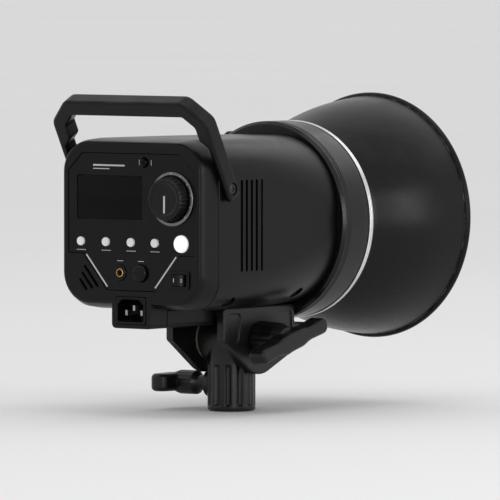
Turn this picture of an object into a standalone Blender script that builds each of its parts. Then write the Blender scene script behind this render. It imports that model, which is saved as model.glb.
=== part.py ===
"""Monolight strobe: a flash head with a bayonet reflector on a tilting stand bracket.

Metres, +Z up. The light leaves toward -Y, and the control panel faces +Y. The origin is
the centre of the stand socket's mouth. Pieces of the head are placed from the optical axis.
"""

import math

import bmesh
import bpy
from mathutils import Vector

for old in list(bpy.data.objects):
    bpy.data.objects.remove(old)

# Running clearance between neighbouring pieces, and how finely round pieces are divided
GAP = 0.0003
ROUND_STEPS = 40
SMALL_STEPS = 16
TINY_STEPS = 10
CUT_PAST = 0.004

# Stand receiver: its tube takes a 16 mm stand spigot
AXIS_HEIGHT = 0.137
PIVOT_HEIGHT = 0.052
SOCKET_RADIUS = 0.0082
SOCKET_DEPTH = 0.038
RECEIVER_RADIUS = 0.0175
EYE_RADIUS = 0.018
EYE_HALF_WIDTH = 0.018
LOCK_HEIGHT = 0.019
LOCK_BOSS_RADIUS = 0.0105
LOCK_BOSS_END = 0.0198
LOCK_SCREW_RADIUS = 0.005
LOCK_SCREW_TIP = 0.0115
LOCK_NECK_RADIUS = 0.0055
LOCK_NECK_LENGTH = 0.0100
LOCK_HUB_RADIUS = 0.0088
LOCK_HUB_LENGTH = 0.020
LOCK_HUB_EDGE = 0.0015
LOCK_HUB_TAPER = 0.9
WING_SEAT = 0.002
WING_THICKNESS = 0.013
WING_HALF_SPAN = 0.0235
WING_DEPTH = 0.014
BAR_ROUNDING = 0.3
FLUTE_COUNT = 12
FLUTE_RADIUS = 0.0016
FLUTE_LOW = 0.003
FLUTE_TOP = 0.033

# Tilt joint
BOLT_RADIUS = 0.004
BOLT_HEAD_RADIUS = 0.0075
BOLT_HEAD_LENGTH = 0.0053
BOLT_END = 0.038
WASHER_RADIUS = 0.0165
WASHER_THICKNESS = 0.0019
EAR_THICKNESS = 0.0065
EAR_RADIUS = 0.025
EAR_REAR = 0.043
EAR_FRONT = 0.062
EAR_FRONT_TOP = 0.0105
PLATE_THICKNESS = 0.0047
TILT_HUB_RADIUS = 0.014
TILT_HUB_LENGTH = 0.0177
TILT_HUB_TAPER = 0.86
TILT_BAR_HALF_LENGTH = 0.040
TILT_BAR_DEPTH = 0.015
TILT_BAR_HEIGHT = 0.014
TILT_BAR_REST = math.radians(-16)

# Umbrella tube at the bracket's front, on the +X side
UMBRELLA_X = 0.051
UMBRELLA_HEIGHT = 0.0045
UMBRELLA_HOLE_RADIUS = 0.0045
UMBRELLA_TUBE_RADIUS = 0.0080
UMBRELLA_FRONT = 0.060
UMBRELLA_REAR = 0.036
UMBRELLA_SCREW_RADIUS = 0.0025
UMBRELLA_KNOB_RADIUS = 0.0075
UMBRELLA_KNOB_LENGTH = 0.009
UMBRELLA_KNOB_EDGE = 0.001
UMBRELLA_KNOB_FOOT = 0.8
UMBRELLA_KNOB_FACE = 0.85
UMBRELLA_WEB_SHARE = 0.7
UMBRELLA_WEB_INSET = 0.002

# Housing, from the optical axis
HOUSING_HALF_WIDTH = 0.065
HOUSING_TOP = 0.063
HOUSING_BOTTOM = 0.060
HOUSING_REAR = 0.097
HOUSING_FRONT = 0.041
HOUSING_WALL = 0.0026
REAR_CORNER = 0.024
FRONT_CORNER = 0.052
CORNER_STEPS = 6
HOUSING_STATIONS = (0.055, 0.020, -0.010)
SIDE_SLOT_COUNT = 5
SIDE_SLOT_PITCH = 0.0058
SIDE_SLOT_WIDTH = 0.0026
SIDE_SLOT_FIRST = 0.046
SIDE_SLOT_LOW = 0.032
SIDE_SLOT_HIGH = 0.034
SIDE_SCREW_PLACES = (("rear", 0.074), ("front", -0.014))
SIDE_SCREW_SLOPE = math.radians(52)
SIDE_SCREW_POCKET = 0.0058
SIDE_SCREW_BOSS = 0.0078
SIDE_SCREW_DEPTH = 0.0048
SIDE_SCREW_LENGTH = 0.010
SIDE_SCREW_HEAD_LENGTH = 0.0025
SIDE_SCREW_HEAD_EDGE = 0.0010
SIDE_SCREW_FACE = 0.7
SIDE_SCREW_BOSS_ROOT = 0.65

# Rear cover and control panel
COVER_DEPTH = 0.020
COVER_WALL = 0.0028
COVER_FACE_INSET = 0.0025
COVER_FACE_BOTTOM = 0.0545
COVER_FACE_CORNER = 0.022
COVER_SHOULDER_DEPTH = 0.006
COVER_SHOULDER_BACK = 0.35
COVER_EDGE = 0.0012
COVER_EDGE_BACK = 0.85
COVER_EDGE_INSET = 0.0002
PANEL_SUNK = 0.0005
TONGUE_HALF_WIDTH = 0.018
TONGUE_BOTTOM = 0.073
TONGUE_JOINT = 0.002
TONGUE_SUNK = 0.0002
PANEL_THICKNESS = 0.0025
PANEL_SIDE_MARGIN = 0.007
PANEL_HALF_WIDTH = HOUSING_HALF_WIDTH - PANEL_SIDE_MARGIN
PANEL_TOP = 0.053
PANEL_CHAMFER = 0.013
PANEL_SHOULDER = 0.020
PANEL_SHOULDER_SET_IN = 0.014
PANEL_SHOULDER_HALF = PANEL_HALF_WIDTH - PANEL_SHOULDER_SET_IN
PANEL_FOOT = 0.046
PANEL_FOOT_SET_IN = 0.022
PANEL_FOOT_HALF = PANEL_SHOULDER_HALF - PANEL_FOOT_SET_IN
CORNER_VENT_COUNT = 3
CORNER_VENT_PITCH = 0.0048
CORNER_VENT_WIDTH = 0.0022
CORNER_VENT_LENGTH = 0.020

# Controls on the panel: X and height from the optical axis
WINDOW_MARGIN = 0.008
WINDOW_LEFT = PANEL_HALF_WIDTH - WINDOW_MARGIN
WINDOW_RIGHT = -0.010
WINDOW_LOW = 0.005
WINDOW_HIGH = 0.037
WINDOW_THICKNESS = 0.0018
WINDOW_SUNK = 0.0004
MODULE_DEPTH = 0.004
MODULE_BORDER = 0.002
DIAL_MARGIN = 0.020
DIAL_X = DIAL_MARGIN - PANEL_HALF_WIDTH
DIAL_Z = 0.021
DIAL_RADIUS = 0.016
DIAL_HEIGHT = 0.0095
DIAL_RING_RADIUS = 0.0195
DIAL_RING_HEIGHT = 0.0016
DIAL_RING_EDGE = 0.0005
DIAL_EDGE = 0.0015
DIAL_EDGE_SHARE = 0.95
DIAL_FACE_SHARE = 0.86
DIAL_DISH_SHARE = 0.70
DIAL_DISH = 0.0006
DIAL_SHAFT_RADIUS = 0.003
DIAL_CAP_FLOOR = 0.003
ENCODER_HALF = 0.006
DIAL_TRAVEL = 0.0006
BUTTON_XS = (0.046, 0.023, 0.0, -0.022)
BUTTON_Z = -0.011
BUTTON_RADIUS = 0.0032
TEST_BUTTON_MARGIN = 0.012
TEST_BUTTON_X = TEST_BUTTON_MARGIN - PANEL_HALF_WIDTH
TEST_BUTTON_RADIUS = 0.0062
BUTTON_PROUD = 0.0016
BUTTON_FLANGE = 0.0012
BUTTON_TRAVEL = 0.0008
BUTTON_STEM_SHARE = 0.6
BUTTON_EDGE = 0.0004
BUTTON_FACE_SHARE = 0.85
SYNC_X = 0.010
FUSE_X = -0.009
SOCKET_ROW_Z = -0.033
SYNC_RADIUS = 0.0055
SYNC_HOLE_RADIUS = 0.0032
SYNC_PROUD = 0.001
SYNC_DEPTH = 0.010
SYNC_FLOOR = 0.0012
FUSE_RADIUS = 0.0062
FUSE_DEPTH = 0.026
FUSE_WALL = 0.0015
FUSE_CAP_HEIGHT = 0.0028
FUSE_CAP_STEM = 0.012
FUSE_CAP_EDGE = 0.0004
FUSE_SLOT = (0.0085, 0.0016, 0.0012)
SENSOR_X = -0.012
SENSOR_Z = 0.0465
SENSOR_RADIUS = 0.0035
SENSOR_SEAT = 0.003
SENSOR_PROUD = 0.0003
SENSOR_CROWN = 0.8
SENSOR_STEPS = 5
BOARD_Y = 0.1035
BOARD_THICKNESS = 0.0016
BOARD_HALF_WIDTH = 0.052
BOARD_TOP = 0.047
BOARD_LOW = 0.021
SWITCH_MARGIN = 0.020
SWITCH_X = SWITCH_MARGIN - HOUSING_HALF_WIDTH
SWITCH_Z = -0.0370
SWITCH_HALF_WIDTH = 0.009
SWITCH_HALF_HEIGHT = 0.0065
SWITCH_RIM = 0.0009
SWITCH_DEPTH = 0.016
SWITCH_RIM_HEIGHT = 0.0012
SWITCH_WALL = 0.0010
SWITCH_WELL_DEPTH = 0.0060
ROCKER_ANGLE = math.radians(8)
ROCKER_MIDDLE = 0.0012
ROCKER_RISE = 0.0016
ROCKER_EDGE = 0.003
ROCKER_KEEL = 0.0034

# Mains inlet in the tongue, and the channel under the housing
INLET_Z = -0.060
INLET_HALF_WIDTH = 0.0135
INLET_HALF_HEIGHT = 0.0097
INLET_DEPTH = 0.0195
INLET_CAVITY_DEPTH = 0.015
INLET_WALL = 0.0016
INLET_PROUD = 0.0005
INLET_KEY_SLOPE = 0.004
PIN_SIZE = (0.002, 0.012, 0.004)
PIN_PITCH = 0.007
PIN_DROP = 0.0035
PIN_ROOT = 0.001
CHANNEL_WALL = 0.0025

# Handle: a flat frame with its feet on the housing's sides
HANDLE_FOOT_Y = 0.088
HANDLE_FOOT_Z = 0.028
HANDLE_LEAN = math.radians(28)
HANDLE_LENGTH = 0.073
HANDLE_DEPTH = 0.013
HANDLE_FOOT_WALL = 0.0057
HANDLE_HALF_WIDTH = HOUSING_HALF_WIDTH + GAP + HANDLE_FOOT_WALL
HANDLE_BAR = 0.012
HANDLE_CHAMFER = 0.017
HANDLE_INNER_CHAMFER = 0.0085
HANDLE_EDGE = 0.0018
HANDLE_LEG_ROOT = 0.036
HANDLE_FOOT_END = 0.008
HANDLE_SCREW_RADIUS = 0.002
HANDLE_SCREW_HEAD = 0.0042
HANDLE_SCREW_SEAT = 0.0022
HANDLE_SCREW_SUNK = 0.0004
HANDLE_SCREW_REACH = 0.002

# Front collar, mount ring, reflector
COLLAR_RADIUS = 0.0725
COLLAR_WALL = 0.0025
COLLAR_LENGTH = 0.030
COLLAR_BACK_OPENING = 0.050
COLLAR_BACK_WALL = 0.003
COLLAR_EDGE = 0.0012
COLLAR_BAND = 0.004
COLLAR_BAND_STEP = 0.0007
COLLAR_BAND_SLOPE = 0.001
RING_THICKNESS = 0.0037
RING_INSET = 0.0003
RING_EDGE = 0.0006
LIP_RADIUS = 0.062
LUG_SPACE_RADIUS = 0.067
LUG_ARC = math.radians(24)
LIP_OPENING_ARC = math.radians(28)
LUG_OFFSET = math.radians(30)
LUG_THICKNESS = 0.0025
BAYONET_BORE = 0.058
FLANGE_RADIUS = 0.071
FLANGE_THICKNESS = 0.002
LUG_ROOT = 0.001
LATCH_ANGLE = math.radians(38)
LATCH_RADIUS = 0.0684
LATCH_PIN_RADIUS = 0.0013
LATCH_ENGAGED = 0.0015
LATCH_TRAVEL = 0.006
LATCH_WIDTH = 0.012
LATCH_NECK = 0.0055
LATCH_TAB_HEIGHT = 0.0042
LATCH_TAB_PAST = 0.0015
LATCH_TAB_EDGE = 0.0012
LATCH_BAR_HALF = 0.0030
LATCH_BAR_REAR = 0.010
LATCH_BAR_UNDER = 0.0013
LATCH_NECK_PAST = 0.002
LATCH_JOINT = 0.001
LATCH_SLOT_END = 0.017
LATCH_SLOT_START = 0.0035
LATCH_NOTCH_FREE = 0.0125
REFLECTOR_LENGTH = 0.0935
REFLECTOR_NECK = 0.0685
REFLECTOR_MOUTH = 0.0886
REFLECTOR_WALL = 0.0012
REFLECTOR_BELL = 0.0035
REFLECTOR_RIM = 0.0027
REFLECTOR_SHOULDER = 0.003
RIM_REAR = 2.0
RIM_HIGH = 1.6
RIM_LOW = 0.5
RIM_FOOT = 0.55
RIM_CREST = 0.95
REFLECTOR_STATIONS = 6

# Lamp parts, from the front plate
FRONT_PLATE_RADIUS = 0.066
FRONT_PLATE_THICKNESS = 0.003
LAMP_SOCKET_RADIUS = 0.0165
LAMP_SOCKET_LENGTH = 0.030
LAMP_SOCKET_BACK = 0.012
LAMP_SOCKET_FLOOR = 0.003
LAMP_NECK_RADIUS = 0.0125
LAMP_BULB_RADIUS = 0.0175
LAMP_LENGTH = 0.052
LAMP_SHOULDER = 0.006
LAMP_NECK_END = 0.002
LAMP_SWELL = 0.004
LAMP_SWELL_SHARE = 0.9
LAMP_STEPS = 8
TUBE_RING_RADIUS = 0.036
TUBE_RADIUS = 0.0048
TUBE_RING_Y = -0.094
TUBE_OPENING = math.radians(50)
TUBE_SOCKET_RADIUS = 0.0085
TUBE_SOCKET_LENGTH = 0.012
TUBE_SEAT = 0.004
TUBE_BEND = 0.008
TUBE_STEPS = 30

# Inside the housing
TRAY_Z = -0.030
TRAY_SIDE_CLEARANCE = 0.0049
TRAY_HALF_WIDTH = HOUSING_HALF_WIDTH - HOUSING_WALL - TRAY_SIDE_CLEARANCE
TRAY_THICKNESS = 0.002
TRAY_FRONT = -0.008
TRAY_REAR = 0.088
TRAY_FLANGE = 0.012
CAPACITOR_RADIUS = 0.025
CAPACITOR_LENGTH = 0.080
CAPACITOR_X = 0.027
CAPACITOR_END = 0.004
CAPACITOR_EDGE = 0.0015
CAPACITOR_TERMINAL = 0.007
POWER_BOARD_SIZE = (0.090, 0.078, 0.0016)
STANDOFF = 0.004
POST_INSET = 0.004
POST_RADIUS = 0.0025
TRANSFORMER_SIZE = (0.040, 0.034, 0.0155)
TRANSFORMER_EDGE = 0.001
FAN_HALF = 0.030
FAN_DEPTH = 0.015
FAN_REAR = -0.0105
FAN_BORE = 0.0285
FAN_HUB = 0.011
FAN_BLADES = 7
FAN_STRUT = 0.0025
FAN_STRUT_ROOT = 0.7
FAN_STRUT_SEAT = 0.0008
FAN_MOTOR_PLATE = 0.003
FAN_CLEARANCE = 0.001
FAN_BLADE_INSET = 0.0008
FAN_BLADE_SWEEP = math.radians(30)
FAN_BLADE_ARC = math.radians(4)

# Finishes: colour, roughness, metallic
BLACK_MOULDED = ((0.022, 0.022, 0.024), 0.48, 0.0)
BLACK_SMOOTH = ((0.012, 0.012, 0.013), 0.30, 0.0)
BLACK_PAINT = ((0.020, 0.020, 0.021), 0.38, 0.0)
CAST_BLACK = ((0.025, 0.025, 0.027), 0.55, 0.0)
LIGHT_GREY = ((0.55, 0.56, 0.57), 0.50, 0.0)
WHITE_LIT = ((0.90, 0.90, 0.88), 0.40, 0.0)
SILVER = ((0.70, 0.70, 0.70), 0.28, 1.0)
STEEL = ((0.55, 0.55, 0.56), 0.35, 1.0)
BRASS = ((0.72, 0.52, 0.22), 0.35, 1.0)
GLASS = ((0.90, 0.92, 0.93), 0.05, 0.0)
DARK_GLASS = ((0.010, 0.012, 0.015), 0.08, 0.0)
CERAMIC = ((0.86, 0.84, 0.78), 0.45, 0.0)
BOARD_GREEN = ((0.03, 0.16, 0.06), 0.50, 0.0)
SLEEVE_BLUE = ((0.05, 0.09, 0.25), 0.40, 0.0)
FIBRE_GREY = ((0.25, 0.24, 0.22), 0.80, 0.0)


# Frames that the pieces hang from

def add_empty(name, at, parent=None):
    empty = bpy.data.objects.new(name, None)
    bpy.context.scene.collection.objects.link(empty)
    empty.location = at
    empty.parent = parent
    return empty


tilt_pivot = add_empty("tilt_pivot", (0, 0, PIVOT_HEIGHT))
optical_axis = add_empty("optical_axis", (0, 0, AXIS_HEIGHT - PIVOT_HEIGHT), tilt_pivot)
PIVOT_BELOW_AXIS = AXIS_HEIGHT - PIVOT_HEIGHT


# Shape helpers

def point(axis, along, u, v):
    """A point at (u, v) across the axis and `along` on it: u, v are Y, Z or X, Z or X, Y."""
    if axis == "X":
        return Vector((along, u, v))
    if axis == "Y":
        return Vector((u, along, v))
    return Vector((u, v, along))


def circle(radius, steps, centre=(0, 0)):
    turns = [2 * math.pi * step / steps for step in range(steps)]
    return [(centre[0] + radius * math.cos(t), centre[1] + radius * math.sin(t)) for t in turns]


def rectangle(left, right, low, high):
    return [(left, low), (right, low), (right, high), (left, high)]


def rounded_section(half_width, top, bottom, radius):
    """A rectangle with round corners, as (x, z) points from the lower right corner up."""
    corners = (
        (half_width - radius, radius - bottom, -90),
        (half_width - radius, top - radius, 0),
        (radius - half_width, top - radius, 90),
        (radius - half_width, radius - bottom, 180),
    )
    points = []
    for x, z, first in corners:
        for step in range(CORNER_STEPS + 1):
            turn = math.radians(first + 90 * step / CORNER_STEPS)
            points.append((x + radius * math.cos(turn), z + radius * math.sin(turn)))
    return points


def add_prism(bm, outline, start, end, axis="Y"):
    """A straight solid with this outline, from start to end along the axis."""
    face = bm.faces.new([bm.verts.new(point(axis, start, u, v)) for u, v in outline])
    grown = bmesh.ops.extrude_face_region(bm, geom=[face])["geom"]
    moved = [item for item in grown if isinstance(item, bmesh.types.BMVert)]
    bmesh.ops.translate(bm, verts=moved, vec=point(axis, end - start, 0, 0))


def add_bar(bm, centre, size, bevel=0.0):
    """A box, with its edges rounded when bevel is given."""
    before = set(bm.edges)
    made = bmesh.ops.create_cube(bm, size=1)["verts"]
    for vert in made:
        vert.co = Vector(centre) + Vector([part * full for part, full in zip(vert.co, size)])
    if bevel:
        edges = [edge for edge in bm.edges if edge not in before]
        bmesh.ops.bevel(bm, geom=edges, offset=bevel, segments=2, profile=0.5, affect="EDGES")


def add_turned(bm, profile, axis="Y", steps=ROUND_STEPS, centre=(0, 0), hollow=False):
    """(along, radius) points spun about the axis; a hollow profile closes on itself."""
    verts = [bm.verts.new(point(axis, along, centre[0] + r, centre[1])) for along, r in profile]
    pairs = list(zip(verts, verts[1:]))
    if hollow:
        pairs.append((verts[-1], verts[0]))
    edges = [bm.edges.new(pair) for pair in pairs]
    bmesh.ops.spin(
        bm,
        geom=verts + edges,
        cent=point(axis, 0, centre[0], centre[1]),
        axis=point(axis, 1, 0, 0),
        angle=2 * math.pi,
        steps=steps,
        use_merge=True,
    )
    bmesh.ops.remove_doubles(bm, verts=bm.verts, dist=1e-6)


def add_rod(bm, start, end, radius, axis="Y", steps=SMALL_STEPS, centre=(0, 0)):
    add_prism(bm, circle(radius, steps, centre), start, end, axis)


def add_loft(bm, sections, closed=False):
    """Skins over sections of equally many points; a closed loft joins the last to the first."""
    rings = [[bm.verts.new(place) for place in section] for section in sections]
    pairs = list(zip(rings, rings[1:]))
    if closed:
        pairs.append((rings[-1], rings[0]))
    count = len(rings[0])
    for first, second in pairs:
        for near in range(count):
            far = (near + 1) % count
            bm.faces.new((first[near], first[far], second[far], second[near]))
    if not closed:
        bm.faces.new(rings[0])
        bm.faces.new(rings[-1])


def link(name, bm, parent, at, turn):
    bmesh.ops.recalc_face_normals(bm, faces=bm.faces)
    mesh = bpy.data.meshes.new(name)
    bm.to_mesh(mesh)
    bm.free()
    mesh.shade_smooth()
    mesh.set_sharp_from_angle(angle=math.radians(35))
    obj = bpy.data.objects.new(name, mesh)
    bpy.context.scene.collection.objects.link(obj)
    obj.parent = parent
    obj.location = at
    obj.rotation_euler = turn
    return obj


def add_piece(name, bm, finish, parent=optical_axis, at=(0, 0, 0), turn=(0, 0, 0)):
    """One sub-part in its own material, placed from its parent frame."""
    obj = link(name, bm, parent, at, turn)
    colour, roughness, metallic = finish
    material = bpy.data.materials.new(name)
    material.use_nodes = True
    shader = material.node_tree.nodes["Principled BSDF"]
    shader.inputs["Base Color"].default_value = (*colour, 1)
    shader.inputs["Roughness"].default_value = roughness
    shader.inputs["Metallic"].default_value = metallic
    obj.data.materials.append(material)
    return obj


def shape_with(piece, name, bm, operation):
    """Cuts the piece by the helper solid, or joins the two; both share the piece's frame."""
    helper = link(f"{piece.name}_{name}", bm, piece, (0, 0, 0), (0, 0, 0))
    helper.hide_render = True
    helper.display_type = "WIRE"
    boolean = piece.modifiers.new(name, "BOOLEAN")
    boolean.operation = operation
    boolean.object = helper


def cut(piece, name, bm):
    shape_with(piece, name, bm, "DIFFERENCE")


def join(piece, name, bm):
    shape_with(piece, name, bm, "UNION")


# Stand receiver: fluted tube, pivot eye and lock boss

def make_stand_receiver():
    bm = bmesh.new()
    add_rod(bm, 0, PIVOT_HEIGHT, RECEIVER_RADIUS, "Z", ROUND_STEPS)
    receiver = add_piece("stand_receiver", bm, CAST_BLACK, None)

    eye = bmesh.new()
    add_rod(eye, -EYE_HALF_WIDTH, EYE_HALF_WIDTH, EYE_RADIUS, "X", ROUND_STEPS, (0, PIVOT_HEIGHT))
    join(receiver, "eye", eye)

    boss = bmesh.new()
    middle = (SOCKET_RADIUS + RECEIVER_RADIUS) / 2
    add_rod(boss, middle, LOCK_BOSS_END, LOCK_BOSS_RADIUS, "X", centre=(0, LOCK_HEIGHT))
    join(receiver, "lock_boss", boss)

    flutes = bmesh.new()
    for index in range(FLUTE_COUNT):
        turn = 2 * math.pi * (index + 0.5) / FLUTE_COUNT
        side = RECEIVER_RADIUS + FLUTE_RADIUS / 2
        centre = (side * math.cos(turn), side * math.sin(turn))
        if centre[0] < LOCK_BOSS_RADIUS:
            add_rod(flutes, FLUTE_LOW, FLUTE_TOP, FLUTE_RADIUS, "Z", TINY_STEPS, centre)
    cut(receiver, "flutes", flutes)

    bores = bmesh.new()
    add_rod(bores, -CUT_PAST, SOCKET_DEPTH, SOCKET_RADIUS, "Z", ROUND_STEPS)
    cut(receiver, "socket", bores)
    screw_hole = bmesh.new()
    hole_radius = LOCK_SCREW_RADIUS + GAP
    add_rod(screw_hole, 0, LOCK_BOSS_END + CUT_PAST, hole_radius, "X", centre=(0, LOCK_HEIGHT))
    cut(receiver, "screw_hole", screw_hole)
    bolt_hole = bmesh.new()
    end = EYE_HALF_WIDTH + CUT_PAST
    add_rod(bolt_hole, -end, end, BOLT_RADIUS + GAP, "X", centre=(0, PIVOT_HEIGHT))
    cut(receiver, "bolt_hole", bolt_hole)


def make_spigot_clamp_shoe():
    bm = bmesh.new()
    inner = SOCKET_RADIUS + GAP
    add_rod(bm, inner, LOCK_SCREW_TIP - GAP, LOCK_SCREW_RADIUS, "X")
    add_piece("spigot_clamp_shoe", bm, BRASS, None, (0, 0, LOCK_HEIGHT))


def make_stand_lock_knob():
    neck = LOCK_BOSS_END + GAP
    hub = neck + LOCK_NECK_LENGTH
    end = hub + LOCK_HUB_LENGTH
    bm = bmesh.new()
    add_turned(
        bm,
        (
            (LOCK_SCREW_TIP, 0),
            (LOCK_SCREW_TIP, LOCK_SCREW_RADIUS),
            (neck, LOCK_SCREW_RADIUS),
            (neck, LOCK_NECK_RADIUS),
            (hub, LOCK_NECK_RADIUS),
            (hub + LOCK_HUB_EDGE, LOCK_HUB_RADIUS),
            (end, LOCK_HUB_RADIUS * LOCK_HUB_TAPER),
            (end, 0),
        ),
        "X",
        SMALL_STEPS,
    )
    knob = add_piece("stand_lock_knob", bm, CAST_BLACK, None, (0, 0, LOCK_HEIGHT))
    wing = bmesh.new()
    centre = (end + WING_DEPTH / 2 - WING_SEAT, 0, 0)
    size = (WING_DEPTH, 2 * WING_HALF_SPAN, WING_THICKNESS)
    add_bar(wing, centre, size, WING_DEPTH * BAR_ROUNDING)
    join(knob, "wing", wing)


# Tilt base: plate under the housing, two ears round the receiver's eye, umbrella tube

EAR_INNER = EYE_HALF_WIDTH + WASHER_THICKNESS + 2 * GAP
EAR_OUTER = EAR_INNER + EAR_THICKNESS
PLATE_TOP = PIVOT_BELOW_AXIS - HOUSING_BOTTOM - GAP
PLATE_LOW = PLATE_TOP - PLATE_THICKNESS


def ear_outline():
    """Ear from the side, as (y, z) from the pivot: round below, straight to both corners."""
    rear_tangent = -math.acos(EAR_RADIUS / EAR_REAR)
    front_tangent = math.acos(EAR_RADIUS / EAR_FRONT) - math.pi
    points = [(EAR_REAR, PLATE_TOP), (-HOUSING_FRONT + GAP, PLATE_TOP)]
    points += [(-HOUSING_FRONT + GAP, EAR_FRONT_TOP), (-EAR_FRONT, EAR_FRONT_TOP), (-EAR_FRONT, 0)]
    for step in range(SMALL_STEPS + 1):
        turn = front_tangent + (rear_tangent - front_tangent) * step / SMALL_STEPS
        points.append((EAR_RADIUS * math.cos(turn), EAR_RADIUS * math.sin(turn)))
    points.append((EAR_REAR, 0))
    return points


BASE_SCREW_YS = (("front", -0.029), ("rear", 0.034))
BASE_SCREW_RADIUS = 0.0025
BASE_SCREW_HEAD = 0.0045
BASE_SCREW_HEAD_LENGTH = 0.0025
BASE_SCREW_REACH = 0.006
BASE_SCREW_FACE = 0.8
BASE_SCREW_CROWN = 0.6


def make_tilt_base():
    bm = bmesh.new()
    add_prism(bm, ear_outline(), -EAR_OUTER, EAR_OUTER, "X")
    base = add_piece("tilt_base", bm, CAST_BLACK, tilt_pivot)

    between = bmesh.new()
    low = -EAR_RADIUS - CUT_PAST
    rear = rectangle(-HOUSING_FRONT + PLATE_THICKNESS, EAR_REAR + CUT_PAST, low, PLATE_LOW)
    add_prism(between, rear, -EAR_INNER, EAR_INNER, "X")
    cut(base, "between_ears", between)
    nose = bmesh.new()
    nose_top = EAR_FRONT_TOP - PLATE_THICKNESS
    front = rectangle(-EAR_FRONT - CUT_PAST, -HOUSING_FRONT + 2 * PLATE_THICKNESS, low, nose_top)
    add_prism(nose, front, -EAR_INNER, EAR_INNER, "X")
    cut(base, "under_nose", nose)

    tube = bmesh.new()
    centre = (UMBRELLA_X, UMBRELLA_HEIGHT)
    add_rod(tube, -UMBRELLA_FRONT, -UMBRELLA_REAR, UMBRELLA_TUBE_RADIUS, "Y", ROUND_STEPS, centre)
    join(base, "umbrella_tube", tube)
    web = bmesh.new()
    half_web = UMBRELLA_TUBE_RADIUS * UMBRELLA_WEB_SHARE
    outline = rectangle(
        EAR_INNER + EAR_THICKNESS / 2,
        UMBRELLA_X,
        UMBRELLA_HEIGHT - half_web,
        UMBRELLA_HEIGHT + half_web,
    )
    start = -UMBRELLA_FRONT + UMBRELLA_WEB_INSET
    add_prism(web, outline, start, -UMBRELLA_REAR - UMBRELLA_WEB_INSET, "Y")
    join(base, "umbrella_web", web)

    hole = bmesh.new()
    start = -UMBRELLA_FRONT - CUT_PAST
    add_rod(hole, start, -UMBRELLA_REAR + CUT_PAST, UMBRELLA_HOLE_RADIUS, "Y", centre=centre)
    cut(base, "umbrella_hole", hole)
    screw_hole = bmesh.new()
    radius = UMBRELLA_SCREW_RADIUS + GAP
    end = UMBRELLA_X + UMBRELLA_TUBE_RADIUS + CUT_PAST
    middle = -(UMBRELLA_FRONT + UMBRELLA_REAR) / 2
    add_rod(screw_hole, UMBRELLA_X, end, radius, "X", TINY_STEPS, (middle, UMBRELLA_HEIGHT))
    cut(base, "umbrella_screw_hole", screw_hole)
    bolt_hole = bmesh.new()
    reach = EAR_OUTER + CUT_PAST
    add_rod(bolt_hole, -reach, reach, BOLT_RADIUS + GAP, "X")
    cut(base, "bolt_hole", bolt_hole)
    base_screws = bmesh.new()
    for _, y in BASE_SCREW_YS:
        low = PLATE_LOW - CUT_PAST
        radius = BASE_SCREW_RADIUS + GAP
        add_rod(base_screws, low, PLATE_TOP + CUT_PAST, radius, "Z", TINY_STEPS, (0, y))
    cut(base, "screw_holes", base_screws)


def make_base_screws():
    for end, y in BASE_SCREW_YS:
        head = PLATE_LOW - GAP
        bm = bmesh.new()
        add_turned(
            bm,
            (
                (head - BASE_SCREW_HEAD_LENGTH, 0),
                (head - BASE_SCREW_HEAD_LENGTH, BASE_SCREW_HEAD * BASE_SCREW_FACE),
                (head - BASE_SCREW_HEAD_LENGTH * BASE_SCREW_CROWN, BASE_SCREW_HEAD),
                (head, BASE_SCREW_HEAD),
                (head, BASE_SCREW_RADIUS),
                (PLATE_TOP + BASE_SCREW_REACH, BASE_SCREW_RADIUS),
                (PLATE_TOP + BASE_SCREW_REACH, 0),
            ),
            "Z",
            TINY_STEPS,
        )
        add_piece(f"base_screw_{end}", bm, STEEL, tilt_pivot, (0, y, 0))


def make_tilt_bolt():
    bm = bmesh.new()
    head = EAR_OUTER + GAP
    add_rod(bm, head, head + BOLT_HEAD_LENGTH, BOLT_HEAD_RADIUS, "X", 6)
    bolt = add_piece("tilt_pivot_bolt", bm, STEEL, tilt_pivot)
    shaft = bmesh.new()
    add_rod(shaft, -BOLT_END, head + BOLT_HEAD_LENGTH / 2, BOLT_RADIUS, "X")
    join(bolt, "shaft", shaft)


def make_friction_washers():
    for side, name in ((1, "left"), (-1, "right")):
        near = side * (EYE_HALF_WIDTH + GAP)
        far = near + side * WASHER_THICKNESS
        hole = BOLT_RADIUS + GAP
        bm = bmesh.new()
        profile = ((near, hole), (near, WASHER_RADIUS), (far, WASHER_RADIUS), (far, hole))
        add_turned(bm, profile, "X", SMALL_STEPS, hollow=True)
        add_piece(f"friction_washer_{name}", bm, FIBRE_GREY, tilt_pivot)


def make_tilt_lock_handle():
    face = -EAR_OUTER - GAP
    hub_end = face - TILT_HUB_LENGTH
    bore_end = -BOLT_END - 2 * GAP
    bore = BOLT_RADIUS + GAP
    bm = bmesh.new()
    add_turned(
        bm,
        (
            (bore_end, 0),
            (bore_end, bore),
            (face, bore),
            (face, TILT_HUB_RADIUS),
            (hub_end - TILT_BAR_DEPTH / 2, TILT_HUB_RADIUS * TILT_HUB_TAPER),
            (hub_end - TILT_BAR_DEPTH / 2, 0),
        ),
        "X",
        ROUND_STEPS // 2,
    )
    turn = (TILT_BAR_REST, 0, 0)
    handle = add_piece("tilt_lock_handle", bm, CAST_BLACK, tilt_pivot, turn=turn)
    bar = bmesh.new()
    centre = (hub_end - TILT_BAR_DEPTH / 2, 0, 0)
    size = (TILT_BAR_DEPTH, 2 * TILT_BAR_HALF_LENGTH, TILT_BAR_HEIGHT)
    add_bar(bar, centre, size, TILT_BAR_HEIGHT * BAR_ROUNDING)
    join(handle, "bar", bar)


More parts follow.
